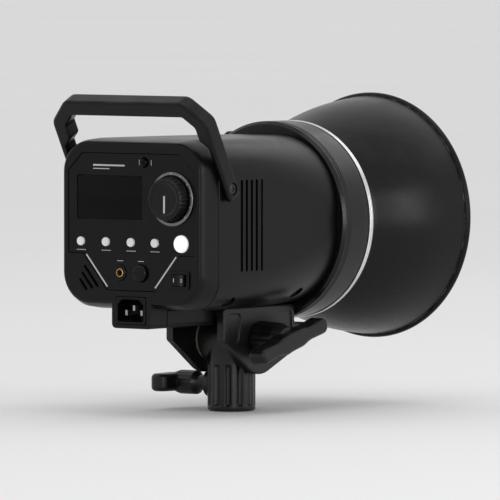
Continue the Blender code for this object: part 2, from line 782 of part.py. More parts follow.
def make_umbrella_lock_screw():
    knob = UMBRELLA_X + UMBRELLA_TUBE_RADIUS + GAP
    knob_end = knob + UMBRELLA_KNOB_LENGTH
    tip = UMBRELLA_X + UMBRELLA_HOLE_RADIUS + GAP
    bm = bmesh.new()
    add_turned(
        bm,
        (
            (tip, 0),
            (tip, UMBRELLA_SCREW_RADIUS),
            (knob, UMBRELLA_SCREW_RADIUS),
            (knob, UMBRELLA_KNOB_RADIUS * UMBRELLA_KNOB_FOOT),
            (knob + UMBRELLA_KNOB_EDGE, UMBRELLA_KNOB_RADIUS),
            (knob_end - UMBRELLA_KNOB_EDGE, UMBRELLA_KNOB_RADIUS),
            (knob_end, UMBRELLA_KNOB_RADIUS * UMBRELLA_KNOB_FACE),
            (knob_end, 0),
        ),
        "X",
        SMALL_STEPS,
    )
    middle = -(UMBRELLA_FRONT + UMBRELLA_REAR) / 2
    place = (0, middle, UMBRELLA_HEIGHT)
    add_piece("umbrella_lock_screw", bm, BLACK_SMOOTH, tilt_pivot, place)


# Main housing: moulded shell, rounded square behind and near round in front

def housing_corner(y):
    """Corner radius along the housing, growing toward the collar."""
    forward = (HOUSING_REAR - y) / (HOUSING_REAR + HOUSING_FRONT)
    return REAR_CORNER + (FRONT_CORNER - REAR_CORNER) * forward**2


def housing_section(y, inset):
    width = HOUSING_HALF_WIDTH - inset
    top = HOUSING_TOP - inset
    bottom = HOUSING_BOTTOM - inset
    outline = rounded_section(width, top, bottom, housing_corner(y) - inset)
    return [point("Y", y, x, z) for x, z in outline]


def side_screw_frame(side, y):
    """Centre on the housing's lower corner and the outward direction there."""
    radius = housing_corner(y)
    outward = Vector((side * math.cos(SIDE_SCREW_SLOPE), 0, -math.sin(SIDE_SCREW_SLOPE)))
    corner = Vector((side * (HOUSING_HALF_WIDTH - radius), y, radius - HOUSING_BOTTOM))
    return corner + outward * radius, outward


def add_slanted_rod(bm, start, end, radius, steps=SMALL_STEPS):
    """A rod between two points that lie in one XZ plane."""
    along = (end - start).normalized()
    across = Vector((0, 1, 0))
    other = along.cross(across)
    rings = []
    for centre in (start, end):
        rings.append([centre + across * u + other * v for u, v in circle(radius, steps)])
    add_loft(bm, rings)


def side_screws():
    for label, y in SIDE_SCREW_PLACES:
        for side, hand in ((1, "left"), (-1, "right")):
            place, outward = side_screw_frame(side, y)
            yield f"side_screw_{label}_{hand}", place, outward


def make_main_housing():
    ys = (HOUSING_REAR, *HOUSING_STATIONS, -HOUSING_FRONT)
    outer = [housing_section(y, 0) for y in ys]
    inner = [housing_section(y, HOUSING_WALL) for y in reversed(ys)]
    bm = bmesh.new()
    add_loft(bm, outer + inner, closed=True)
    housing = add_piece("main_housing", bm, BLACK_MOULDED)

    bosses = bmesh.new()
    pockets = bmesh.new()
    holes = bmesh.new()
    for _, place, outward in side_screws():
        seat = place - outward * SIDE_SCREW_DEPTH
        inside = place - outward * (SIDE_SCREW_DEPTH + SIDE_SCREW_LENGTH)
        skin = place - outward * HOUSING_WALL * SIDE_SCREW_BOSS_ROOT
        add_slanted_rod(bosses, skin, inside, SIDE_SCREW_BOSS)
        add_slanted_rod(pockets, place + outward * CUT_PAST, seat, SIDE_SCREW_POCKET)
        through = inside - outward * CUT_PAST
        radius = HANDLE_SCREW_RADIUS + GAP
        add_slanted_rod(holes, place, through, radius, TINY_STEPS)
    join(housing, "screw_bosses", bosses)
    cut(housing, "screw_pockets", pockets)
    cut(housing, "screw_holes", holes)

    slots = bmesh.new()
    wide = HOUSING_HALF_WIDTH + CUT_PAST
    for index in range(SIDE_SLOT_COUNT):
        start = SIDE_SLOT_FIRST + SIDE_SLOT_PITCH * index
        end = start + SIDE_SLOT_WIDTH
        add_prism(slots, rectangle(start, end, -SIDE_SLOT_LOW, SIDE_SLOT_HIGH), -wide, wide, "X")
    cut(housing, "side_slots", slots)

    handle_holes = bmesh.new()
    radius = HANDLE_SCREW_RADIUS + GAP
    centre = (HANDLE_FOOT_Y, HANDLE_FOOT_Z)
    add_rod(handle_holes, -wide, wide, radius, "X", TINY_STEPS, centre)
    cut(housing, "handle_holes", handle_holes)
    base_holes = bmesh.new()
    for _, y in BASE_SCREW_YS:
        low = -HOUSING_BOTTOM - CUT_PAST
        high = -HOUSING_BOTTOM + HOUSING_WALL + CUT_PAST
        radius = BASE_SCREW_RADIUS + GAP
        add_rod(base_holes, low, high, radius, "Z", TINY_STEPS, (0, y))
    cut(housing, "base_holes", base_holes)


def make_side_screws():
    for name, place, outward in side_screws():
        seat = SIDE_SCREW_DEPTH - GAP
        head = SIDE_SCREW_POCKET - 2 * GAP
        face = SIDE_SCREW_HEAD_LENGTH - seat
        bm = bmesh.new()
        add_turned(
            bm,
            (
                (face, 0),
                (face, head * SIDE_SCREW_FACE),
                (face - SIDE_SCREW_HEAD_EDGE, head),
                (-seat, head),
                (-seat, HANDLE_SCREW_RADIUS),
                (-seat - SIDE_SCREW_LENGTH, HANDLE_SCREW_RADIUS),
                (-seat - SIDE_SCREW_LENGTH, 0),
            ),
            "Z",
            TINY_STEPS,
        )
        turn = Vector((0, 0, 1)).rotation_difference(outward).to_euler()
        add_piece(name, bm, STEEL, at=place, turn=turn)


# Rear cover: cap with the panel's opening, corner vents and the tongue for the inlet

COVER_FRONT = HOUSING_REAR + GAP
COVER_REAR = HOUSING_REAR + COVER_DEPTH
PANEL_REAR = COVER_REAR - PANEL_SUNK
PANEL_FRONT = PANEL_REAR - PANEL_THICKNESS


def cover_section(y, inset, back):
    """Section at y; back runs from 0 at the housing to 1 at the cover's rear face."""
    width = HOUSING_HALF_WIDTH - COVER_FACE_INSET * back - inset
    top = HOUSING_TOP - COVER_FACE_INSET * back - inset
    bottom = HOUSING_BOTTOM + (COVER_FACE_BOTTOM - HOUSING_BOTTOM) * back - inset
    radius = REAR_CORNER + (COVER_FACE_CORNER - REAR_CORNER) * back - inset
    return [point("Y", y, x, z) for x, z in rounded_section(width, top, bottom, radius)]


def panel_outline(inset):
    wide = PANEL_HALF_WIDTH - inset
    top = PANEL_TOP - inset
    half = (
        (wide, top - PANEL_CHAMFER),
        (wide, inset - PANEL_SHOULDER),
        (PANEL_SHOULDER_HALF - inset / 2, inset - PANEL_SHOULDER),
        (PANEL_FOOT_HALF - inset / 2, inset - PANEL_FOOT),
    )
    upper = (wide - PANEL_CHAMFER, top)
    right = [upper, *half]
    left = [(-x, z) for x, z in reversed(right)]
    return right + left


def corner_vent_outlines():
    """Slots beside the panel's slanted edge, each shorter than the last."""
    start = Vector((PANEL_SHOULDER_HALF, -PANEL_SHOULDER))
    end = Vector((PANEL_FOOT_HALF, -PANEL_FOOT))
    along = (end - start).normalized()
    away = Vector((-along.y, along.x))
    middle = (start + end) / 2
    for index in range(CORNER_VENT_COUNT):
        centre = middle + away * CORNER_VENT_PITCH * (index + 1)
        reach = along * (CORNER_VENT_LENGTH / 2 - CORNER_VENT_PITCH * index / 2)
        side = away * CORNER_VENT_WIDTH / 2
        corners = (centre - reach - side, centre + reach - side)
        corners += (centre + reach + side, centre - reach + side)
        yield [(corner.x, corner.y) for corner in corners]


def make_rear_cover():
    face = COVER_REAR
    shoulder = COVER_REAR - COVER_SHOULDER_DEPTH
    inner_face = COVER_REAR - COVER_WALL
    outer = [
        cover_section(COVER_FRONT, 0, 0),
        cover_section(shoulder, 0, COVER_SHOULDER_BACK),
        cover_section(face - COVER_EDGE, COVER_EDGE_INSET, COVER_EDGE_BACK),
        cover_section(face, COVER_EDGE, 1),
    ]
    bm = bmesh.new()
    add_loft(bm, outer)
    cover = add_piece("rear_cover", bm, BLACK_MOULDED)

    hollow = bmesh.new()
    front = cover_section(COVER_FRONT - CUT_PAST, COVER_WALL, 0)
    back = cover_section(inner_face, COVER_WALL, COVER_EDGE_BACK)
    add_loft(hollow, [front, back])
    cut(cover, "hollow", hollow)

    tongue = bmesh.new()
    root = -PANEL_FOOT - TONGUE_JOINT
    outline = rectangle(-TONGUE_HALF_WIDTH, TONGUE_HALF_WIDTH, -TONGUE_BOTTOM, root)
    add_prism(tongue, outline, COVER_FRONT, COVER_REAR - TONGUE_SUNK)
    join(cover, "tongue", tongue)

    opening = bmesh.new()
    add_prism(opening, panel_outline(0), PANEL_FRONT - CUT_PAST, COVER_REAR + CUT_PAST)
    cut(cover, "panel_opening", opening)

    holes = bmesh.new()
    half_width = INLET_HALF_WIDTH + GAP
    low = INLET_Z - INLET_HALF_HEIGHT - GAP
    high = INLET_Z + INLET_HALF_HEIGHT + GAP
    inlet = rectangle(-half_width, half_width, low, high)
    add_prism(holes, inlet, COVER_FRONT - CUT_PAST, COVER_REAR + CUT_PAST)
    switch = rectangle(
        SWITCH_X - SWITCH_HALF_WIDTH + SWITCH_RIM,
        SWITCH_X + SWITCH_HALF_WIDTH - SWITCH_RIM,
        SWITCH_Z - SWITCH_HALF_HEIGHT + SWITCH_RIM,
        SWITCH_Z + SWITCH_HALF_HEIGHT - SWITCH_RIM,
    )
    add_prism(holes, switch, inner_face - CUT_PAST, COVER_REAR + CUT_PAST)
    for outline in corner_vent_outlines():
        add_prism(holes, outline, inner_face - CUT_PAST, COVER_REAR + CUT_PAST)
    cut(cover, "holes", holes)


def make_control_panel():
    bm = bmesh.new()
    add_prism(bm, panel_outline(GAP), PANEL_FRONT, PANEL_REAR)
    panel = add_piece("control_panel", bm, BLACK_SMOOTH)
    holes = bmesh.new()
    start = PANEL_FRONT - CUT_PAST
    end = PANEL_REAR + CUT_PAST
    window = rectangle(WINDOW_RIGHT, WINDOW_LEFT, WINDOW_LOW, WINDOW_HIGH)
    add_prism(holes, window, start, end)
    round_holes = [(x, BUTTON_Z, BUTTON_RADIUS) for x in BUTTON_XS]
    round_holes.append((TEST_BUTTON_X, BUTTON_Z, TEST_BUTTON_RADIUS))
    round_holes.append((DIAL_X, DIAL_Z, DIAL_SHAFT_RADIUS))
    round_holes.append((SYNC_X, SOCKET_ROW_Z, SYNC_RADIUS))
    round_holes.append((FUSE_X, SOCKET_ROW_Z, FUSE_RADIUS))
    round_holes.append((SENSOR_X, SENSOR_Z, SENSOR_RADIUS))
    for x, z, radius in round_holes:
        add_rod(holes, start, end, radius + GAP, "Y", SMALL_STEPS, (x, z))
    cut(panel, "holes", holes)


# Display, dial and buttons

def make_display():
    bm = bmesh.new()
    centre_x = (WINDOW_LEFT + WINDOW_RIGHT) / 2
    centre_z = (WINDOW_LOW + WINDOW_HIGH) / 2
    width = WINDOW_LEFT - WINDOW_RIGHT - 2 * GAP
    height = WINDOW_HIGH - WINDOW_LOW - 2 * GAP
    rear = PANEL_REAR - WINDOW_SUNK
    centre = (centre_x, rear - WINDOW_THICKNESS / 2, centre_z)
    add_bar(bm, centre, (width, WINDOW_THICKNESS, height))
    add_piece("lcd_window", bm, DARK_GLASS)

    bm = bmesh.new()
    centre = (centre_x, PANEL_FRONT - GAP - MODULE_DEPTH / 2, centre_z)
    size = (width + 2 * MODULE_BORDER, MODULE_DEPTH, height + 2 * MODULE_BORDER)
    add_bar(bm, centre, size)
    add_piece("lcd_module", bm, BOARD_GREEN)


def make_dial():
    bm = bmesh.new()
    low = PANEL_REAR + GAP
    high = low + DIAL_RING_HEIGHT
    inner = DIAL_RADIUS + 2 * GAP
    profile = (
        (low, inner),
        (low, DIAL_RING_RADIUS),
        (high - DIAL_RING_EDGE, DIAL_RING_RADIUS),
        (high, DIAL_RING_RADIUS - DIAL_RING_EDGE),
        (high, inner),
    )
    add_turned(bm, profile, centre=(DIAL_X, DIAL_Z), hollow=True)
    add_piece("dial_ring", bm, FIBRE_GREY)

    bm = bmesh.new()
    under = PANEL_REAR + GAP + DIAL_TRAVEL
    top = under + DIAL_HEIGHT
    shaft_end = top - DIAL_CAP_FLOOR
    bore = DIAL_SHAFT_RADIUS + GAP
    profile = (
        (shaft_end + GAP, 0),
        (shaft_end + GAP, bore),
        (under, bore),
        (under, DIAL_RADIUS),
        (top - DIAL_EDGE, DIAL_RADIUS * DIAL_EDGE_SHARE),
        (top, DIAL_RADIUS * DIAL_FACE_SHARE),
        (top - DIAL_DISH, DIAL_RADIUS * DIAL_DISH_SHARE),
        (top - DIAL_DISH, 0),
    )
    add_turned(bm, profile)
    add_piece("control_dial", bm, BLACK_SMOOTH, at=(DIAL_X, 0, DIAL_Z))

    bm = bmesh.new()
    body_rear = PANEL_FRONT - GAP
    body_front = BOARD_Y + BOARD_THICKNESS + GAP
    spindle_start = (body_rear + body_front) / 2
    add_rod(bm, spindle_start, shaft_end, DIAL_SHAFT_RADIUS)
    add_piece("dial_shaft", bm, STEEL, at=(DIAL_X, 0, DIAL_Z))

    bm = bmesh.new()
    half = ENCODER_HALF
    bore = DIAL_SHAFT_RADIUS + GAP
    bottom = spindle_start - DIAL_TRAVEL - GAP
    add_prism(bm, rectangle(-half, half, -half, half), body_front, body_rear)
    encoder = add_piece("dial_encoder", bm, FIBRE_GREY, at=(DIAL_X, 0, DIAL_Z))
    hole = bmesh.new()
    add_rod(hole, bottom, body_rear + CUT_PAST, bore)
    cut(encoder, "shaft_hole", hole)


def add_button(name, x, radius, finish):
    """A cap through the panel with a wider flange behind it, clear of the board."""
    top = PANEL_REAR + BUTTON_PROUD
    flange = PANEL_FRONT - GAP
    flange_radius = radius + BUTTON_FLANGE
    stem_end = BOARD_Y + BOARD_THICKNESS + BUTTON_TRAVEL + GAP
    bm = bmesh.new()
    profile = (
        (stem_end, 0),
        (stem_end, radius * BUTTON_STEM_SHARE),
        (flange - BUTTON_FLANGE, radius * BUTTON_STEM_SHARE),
        (flange - BUTTON_FLANGE, flange_radius),
        (flange, flange_radius),
        (flange, radius),
        (top - BUTTON_EDGE, radius),
        (top, radius * BUTTON_FACE_SHARE),
        (top, 0),
    )
    add_turned(bm, profile, steps=SMALL_STEPS)
    add_piece(name, bm, finish, at=(x, 0, BUTTON_Z))


def make_buttons():
    for index, x in enumerate(BUTTON_XS, 1):
        add_button(f"function_button_{index}", x, BUTTON_RADIUS, LIGHT_GREY)
    add_button("test_button", TEST_BUTTON_X, TEST_BUTTON_RADIUS, WHITE_LIT)


def make_control_board():
    bm = bmesh.new()
    outline = rectangle(-BOARD_HALF_WIDTH, BOARD_HALF_WIDTH, -BOARD_LOW, BOARD_TOP)
    add_prism(bm, outline, BOARD_Y, BOARD_Y + BOARD_THICKNESS)
    add_piece("control_board", bm, BOARD_GREEN)


def make_sockets():
    bm = bmesh.new()
    rear = PANEL_REAR + SYNC_PROUD
    front = PANEL_FRONT - SYNC_DEPTH
    floor = front + SYNC_FLOOR
    profile = (
        (front, 0),
        (front, SYNC_RADIUS),
        (rear, SYNC_RADIUS),
        (rear, SYNC_HOLE_RADIUS),
        (floor, SYNC_HOLE_RADIUS),
        (floor, 0),
    )
    add_turned(bm, profile, steps=SMALL_STEPS)
    add_piece("sync_socket", bm, BLACK_SMOOTH, at=(SYNC_X, 0, SOCKET_ROW_Z))

    cap_under = PANEL_REAR + GAP
    bore = FUSE_RADIUS - FUSE_WALL
    holder_front = PANEL_REAR - FUSE_DEPTH
    bm = bmesh.new()
    profile = (
        (holder_front, 0),
        (holder_front, FUSE_RADIUS),
        (PANEL_REAR, FUSE_RADIUS),
        (PANEL_REAR, bore),
        (holder_front + FUSE_WALL, bore),
        (holder_front + FUSE_WALL, 0),
    )
    add_turned(bm, profile, steps=SMALL_STEPS)
    add_piece("fuse_holder", bm, BLACK_SMOOTH, at=(FUSE_X, 0, SOCKET_ROW_Z))

    bm = bmesh.new()
    cap_top = cap_under + FUSE_CAP_HEIGHT
    stem_end = PANEL_REAR - FUSE_CAP_STEM
    profile = (
        (stem_end, 0),
        (stem_end, bore - GAP),
        (cap_under, bore - GAP),
        (cap_under, FUSE_RADIUS),
        (cap_top - FUSE_CAP_EDGE, FUSE_RADIUS),
        (cap_top, FUSE_RADIUS - FUSE_CAP_EDGE),
        (cap_top, 0),
    )
    add_turned(bm, profile, steps=SMALL_STEPS)
    cap = add_piece("fuse_cap", bm, BLACK_SMOOTH, at=(FUSE_X, 0, SOCKET_ROW_Z))
    slot = bmesh.new()
    add_bar(slot, (0, cap_top, 0), FUSE_SLOT)
    cut(cap, "slot", slot)


def make_slave_sensor():
    bm = bmesh.new()
    seat = PANEL_FRONT - SENSOR_SEAT
    crown = SENSOR_RADIUS * SENSOR_CROWN
    profile = [(seat, 0), (seat, SENSOR_RADIUS)]
    for step in range(SENSOR_STEPS):
        turn = math.pi / 2 * step / SENSOR_STEPS
        along = PANEL_REAR + SENSOR_PROUD + crown * math.sin(turn)
        profile.append((along, SENSOR_RADIUS * math.cos(turn)))
    profile.append((PANEL_REAR + SENSOR_PROUD + crown, 0))
    add_turned(bm, profile, steps=SMALL_STEPS)
    add_piece("slave_sensor_dome", bm, DARK_GLASS, at=(SENSOR_X, 0, SENSOR_Z))


# Power switch: a frame clipped in the cover, and a rocker on a vertical pivot

def make_power_switch():
    face = COVER_REAR + GAP
    rim = SWITCH_RIM + GAP
    body_x = SWITCH_HALF_WIDTH - rim
    body_z = SWITCH_HALF_HEIGHT - rim
    bm = bmesh.new()
    wide = SWITCH_HALF_WIDTH
    tall = SWITCH_HALF_HEIGHT
    add_prism(bm, rectangle(-wide, wide, -tall, tall), face, face + SWITCH_RIM_HEIGHT)
    frame = add_piece("power_switch_frame", bm, BLACK_SMOOTH, at=(SWITCH_X, 0, SWITCH_Z))
    body = bmesh.new()
    outline = rectangle(-body_x, body_x, -body_z, body_z)
    add_prism(body, outline, face - SWITCH_DEPTH, face + SWITCH_RIM_HEIGHT / 2)
    join(frame, "body", body)
    well = bmesh.new()
    well_x = body_x - SWITCH_WALL
    well_z = body_z - SWITCH_WALL
    well_floor = face - SWITCH_WELL_DEPTH
    add_prism(well, rectangle(-well_x, well_x, -well_z, well_z), well_floor, face + CUT_PAST)
    cut(frame, "well", well)

    bm = bmesh.new()
    reach = well_x - 2.5 * GAP
    high = ROCKER_MIDDLE + ROCKER_RISE
    low = ROCKER_MIDDLE - ROCKER_EDGE
    outline = ((-reach, low), (0, -ROCKER_KEEL), (reach, low), (reach, high))
    outline += ((0, ROCKER_MIDDLE), (-reach, high))
    add_prism(bm, outline, GAP - well_z, well_z - GAP, "Z")
    turn = (0, 0, -ROCKER_ANGLE)
    place = (SWITCH_X, face, SWITCH_Z)
    add_piece("power_switch_rocker", bm, BLACK_SMOOTH, at=place, turn=turn)


# Mains inlet and its channel

def make_mains_inlet():
    rear = COVER_REAR + INLET_PROUD
    front = rear - INLET_DEPTH
    half_x = INLET_HALF_WIDTH
    half_z = INLET_HALF_HEIGHT
    bm = bmesh.new()
    add_prism(bm, rectangle(-half_x, half_x, -half_z, half_z), front, rear)
    inlet = add_piece("mains_inlet", bm, BLACK_SMOOTH, at=(0, 0, INLET_Z))
    well = bmesh.new()
    inner_x = half_x - INLET_WALL
    inner_z = half_z - INLET_WALL
    slope = INLET_KEY_SLOPE
    outline = ((-inner_x, -inner_z), (inner_x, -inner_z), (inner_x, inner_z - slope))
    outline += ((inner_x - slope, inner_z), (slope - inner_x, inner_z), (-inner_x, inner_z - slope))
    floor = rear - INLET_CAVITY_DEPTH
    add_prism(well, outline, floor, rear + CUT_PAST)
    cut(inlet, "well", well)
    pins = bmesh.new()
    wide, long, tall = PIN_SIZE
    for x, z in ((-PIN_PITCH, -PIN_DROP / 2), (0, PIN_DROP / 2), (PIN_PITCH, -PIN_DROP / 2)):
        centre = (x, floor - PIN_ROOT + long / 2, z)
        add_bar(pins, centre, (wide, long, tall))
    join(inlet, "pins", pins)


def make_inlet_channel():
    top = -HOUSING_BOTTOM - GAP
    start = EAR_REAR + GAP
    bm = bmesh.new()
    outline = rectangle(-TONGUE_HALF_WIDTH, TONGUE_HALF_WIDTH, -TONGUE_BOTTOM, top)
    add_prism(bm, outline, start, HOUSING_REAR)
    channel = add_piece("inlet_channel", bm, BLACK_MOULDED)
    hollow = bmesh.new()
    half = TONGUE_HALF_WIDTH - CHANNEL_WALL
    inner = rectangle(-half, half, -TONGUE_BOTTOM + CHANNEL_WALL, top - CHANNEL_WALL)
    add_prism(hollow, inner, start + CHANNEL_WALL, HOUSING_REAR + CUT_PAST)
    cut(channel, "hollow", hollow)


# Handle: flat frame that leans back, its feet screwed to the housing's sides

def make_handle():
    inner_leg = HOUSING_HALF_WIDTH + GAP
    root = HANDLE_LEG_ROOT
    top = HANDLE_LENGTH
    shoulder = top - HANDLE_CHAMFER
    thick_leg = HANDLE_HALF_WIDTH - HANDLE_BAR
    bar = top - HANDLE_BAR
    inner_shoulder = bar - HANDLE_INNER_CHAMFER
    half = [
        (HANDLE_HALF_WIDTH - HANDLE_CHAMFER, top),
        (HANDLE_HALF_WIDTH, shoulder),
        (HANDLE_HALF_WIDTH, -HANDLE_FOOT_END),
        (inner_leg, -HANDLE_FOOT_END),
        (inner_leg, root),
        (thick_leg, root + HANDLE_BAR / 2),
        (thick_leg, inner_shoulder),
        (thick_leg - HANDLE_INNER_CHAMFER, bar),
    ]
    outline = half + [(-x, s) for x, s in reversed(half)]
    bm = bmesh.new()
    add_prism(bm, outline, -HANDLE_DEPTH / 2, HANDLE_DEPTH / 2)
    edges = [edge for edge in bm.edges if abs(edge.verts[0].co.y - edge.verts[1].co.y) < GAP]
    bmesh.ops.bevel(bm, geom=edges, offset=HANDLE_EDGE, segments=2, profile=0.5, affect="EDGES")
    place = (0, HANDLE_FOOT_Y, HANDLE_FOOT_Z)
    handle = add_piece("handle", bm, BLACK_MOULDED, at=place, turn=(-HANDLE_LEAN, 0, 0))
    holes = bmesh.new()
    wide = HANDLE_HALF_WIDTH + CUT_PAST
    add_rod(holes, -wide, wide, HANDLE_SCREW_RADIUS + GAP, "X", TINY_STEPS)
    cut(handle, "screw_holes", holes)
    pockets = bmesh.new()
    for side in (1, -1):
        seat = side * (HANDLE_HALF_WIDTH - HANDLE_SCREW_SEAT)
        add_rod(pockets, seat, side * wide, HANDLE_SCREW_HEAD + GAP, "X", SMALL_STEPS)
    cut(handle, "head_pockets", pockets)


def make_handle_screws():
    for side, name in ((1, "left"), (-1, "right")):
        face = side * (HANDLE_HALF_WIDTH - HANDLE_SCREW_SUNK)
        seat = side * (HANDLE_HALF_WIDTH - HANDLE_SCREW_SEAT + GAP)
        end = side * (HOUSING_HALF_WIDTH - HOUSING_WALL - HANDLE_SCREW_REACH)
        bm = bmesh.new()
        profile = (
            (face, 0),
            (face, HANDLE_SCREW_HEAD),
            (seat, HANDLE_SCREW_HEAD),
            (seat, HANDLE_SCREW_RADIUS),
            (end, HANDLE_SCREW_RADIUS),
            (end, 0),
        )
        add_turned(bm, profile, "X", TINY_STEPS)
        place = (0, HANDLE_FOOT_Y, HANDLE_FOOT_Z)
        add_piece(f"handle_screw_{name}", bm, STEEL, at=place)


# Front collar, mount ring and release latch

COLLAR_REAR_Y = -HOUSING_FRONT - GAP
COLLAR_FRONT_Y = COLLAR_REAR_Y - COLLAR_LENGTH
RING_REAR_Y = COLLAR_FRONT_Y - GAP
RING_FRONT_Y = RING_REAR_Y - RING_THICKNESS
FLANGE_Y = RING_FRONT_Y - GAP
COLLAR_BORE = COLLAR_RADIUS - COLLAR_WALL
LATCH_DIRECTION = (math.sin(LATCH_ANGLE), math.cos(LATCH_ANGLE))
LATCH_SLOT_FRONT = COLLAR_REAR_Y - LATCH_SLOT_END
LATCH_SLOT_REAR = COLLAR_REAR_Y - LATCH_SLOT_START


def sector(radius, inner, middle, arc, steps=5):
    """A ring sector as (x, z) points, for the arc centred on the middle angle."""
    turns = [middle - arc / 2 + arc * step / steps for step in range(steps + 1)]
    outside = [(radius * math.sin(t), radius * math.cos(t)) for t in turns]
    inside = [(inner * math.sin(t), inner * math.cos(t)) for t in reversed(turns)]
    return outside + inside


def make_front_collar():
    bm = bmesh.new()
    back_wall = COLLAR_REAR_Y - COLLAR_BACK_WALL
    edge = COLLAR_EDGE
    band = COLLAR_FRONT_Y + COLLAR_BAND
    band_radius = COLLAR_RADIUS - COLLAR_BAND_STEP
    profile = (
        (COLLAR_REAR_Y, COLLAR_BACK_OPENING),
        (COLLAR_REAR_Y, COLLAR_RADIUS - edge),
        (COLLAR_REAR_Y - edge, COLLAR_RADIUS),
        (band + COLLAR_BAND_SLOPE, COLLAR_RADIUS),
        (band, band_radius),
        (COLLAR_FRONT_Y, band_radius),
        (COLLAR_FRONT_Y, COLLAR_BORE),
        (back_wall, COLLAR_BORE),
        (back_wall, COLLAR_BACK_OPENING),
    )
    add_turned(bm, profile, hollow=True)
    collar = add_piece("front_collar", bm, BLACK_MOULDED)
    slot = bmesh.new()
    half = LATCH_NECK / 2 + GAP
    low = LATCH_RADIUS
    corners = rectangle(-half, half, low, COLLAR_RADIUS + CUT_PAST)
    outline = [turned_by_latch(x, z) for x, z in corners]
    add_prism(slot, outline, LATCH_SLOT_FRONT, LATCH_SLOT_REAR)
    cut(collar, "latch_slot", slot)


def turned_by_latch(x, z):
    """Turns a point drawn with the latch on top to where the latch is."""
    sine, cosine = LATCH_DIRECTION
    return (x * cosine + z * sine, z * cosine - x * sine)


def make_mount_ring():
    bm = bmesh.new()
    profile = (
        (RING_REAR_Y, LIP_RADIUS),
        (RING_REAR_Y, COLLAR_RADIUS - RING_INSET),
        (RING_FRONT_Y + RING_EDGE, COLLAR_RADIUS),
        (RING_FRONT_Y, COLLAR_RADIUS - RING_EDGE),
        (RING_FRONT_Y, LIP_RADIUS),
    )
    add_turned(bm, profile, hollow=True)
    ring = add_piece("mount_ring", bm, SILVER)
    openings = bmesh.new()
    for index in range(3):
        middle = math.tau * index / 3
        outline = sector(LUG_SPACE_RADIUS, LIP_RADIUS - CUT_PAST, middle, LIP_OPENING_ARC)
        add_prism(openings, outline, RING_FRONT_Y - CUT_PAST, RING_REAR_Y + CUT_PAST)
    cut(ring, "lug_openings", openings)
    pin_hole = bmesh.new()
    centre = turned_by_latch(0, LATCH_RADIUS)
    radius = LATCH_PIN_RADIUS + GAP
    start = RING_FRONT_Y - CUT_PAST
    add_rod(pin_hole, start, RING_REAR_Y + CUT_PAST, radius, "Y", TINY_STEPS, centre)
    cut(ring, "pin_hole", pin_hole)


def make_release_latch():
    """Thumb tab, neck through the collar's slot and inner bar, with the locking pin."""
    bar_rear = COLLAR_REAR_Y - LATCH_BAR_REAR
    bar_front = RING_REAR_Y + GAP
    wide = LATCH_BAR_HALF
    outline = rectangle(-wide, wide, LATCH_RADIUS - LATCH_BAR_UNDER, COLLAR_BORE - 2 * GAP)
    bm = bmesh.new()
    add_prism(bm, outline, bar_front, bar_rear)
    turn = (0, LATCH_ANGLE, 0)
    latch = add_piece("release_latch", bm, BLACK_SMOOTH, turn=turn)
    neck = bmesh.new()
    half = LATCH_NECK / 2
    neck_front = LATCH_SLOT_FRONT + GAP
    neck_rear = LATCH_SLOT_REAR - GAP - LATCH_TRAVEL
    low = COLLAR_BORE - LATCH_JOINT
    outline = rectangle(-half, half, low, COLLAR_RADIUS + LATCH_NECK_PAST)
    add_prism(neck, outline, neck_front, neck_rear)
    join(latch, "neck", neck)
    tab = bmesh.new()
    height = LATCH_TAB_HEIGHT
    middle = (neck_front + neck_rear) / 2
    centre = (0, middle, COLLAR_RADIUS + 2 * GAP + height / 2)
    long = neck_rear - neck_front + 2 * LATCH_TAB_PAST
    add_bar(tab, centre, (LATCH_WIDTH, long, height), LATCH_TAB_EDGE)
    join(latch, "tab", tab)
    pin = bmesh.new()
    tip = FLANGE_Y + GAP - LATCH_ENGAGED
    root = bar_front + 2 * LATCH_JOINT
    add_rod(pin, tip, root, LATCH_PIN_RADIUS, "Y", TINY_STEPS, (0, LATCH_RADIUS))
    join(latch, "pin", pin)


# Reflector with its bayonet ring: both turn together in the mount ring

def make_bayonet_ring():
    bm = bmesh.new()
    lug_rear = RING_REAR_Y + GAP + LUG_THICKNESS
    sleeve = LIP_RADIUS - GAP
    flange_front = FLANGE_Y - FLANGE_THICKNESS
    profile = (
        (lug_rear, BAYONET_BORE),
        (lug_rear, sleeve),
        (FLANGE_Y, sleeve),
        (FLANGE_Y, FLANGE_RADIUS),
        (flange_front, FLANGE_RADIUS),
        (flange_front, BAYONET_BORE),
    )
    add_turned(bm, profile, hollow=True)
    ring = add_piece("reflector_bayonet_ring", bm, SILVER)
    lugs = bmesh.new()
    for index in range(3):
        middle = math.tau * index / 3 + LUG_OFFSET
        outline = sector(LUG_SPACE_RADIUS - 2 * GAP, sleeve - LUG_ROOT, middle, LUG_ARC)
        add_prism(lugs, outline, RING_REAR_Y + GAP, lug_rear - GAP / 2)
    join(ring, "lugs", lugs)
    notch = bmesh.new()
    left = LATCH_PIN_RADIUS + 2 * GAP
    corners = rectangle(
        -left,
        LATCH_NOTCH_FREE,
        LATCH_RADIUS - LATCH_PIN_RADIUS - 2 * GAP,
        FLANGE_RADIUS + CUT_PAST,
    )
    outline = [turned_by_latch(x, z) for x, z in corners]
    add_prism(notch, outline, flange_front - CUT_PAST, FLANGE_Y + CUT_PAST)
    cut(ring, "latch_notch", notch)


def reflector_radius(part):
    """Outer radius from the neck (0) to the mouth (1), swelling a little between."""
    straight = REFLECTOR_NECK + (REFLECTOR_MOUTH - REFLECTOR_NECK) * part
    return straight + REFLECTOR_BELL * math.sin(math.pi * part)


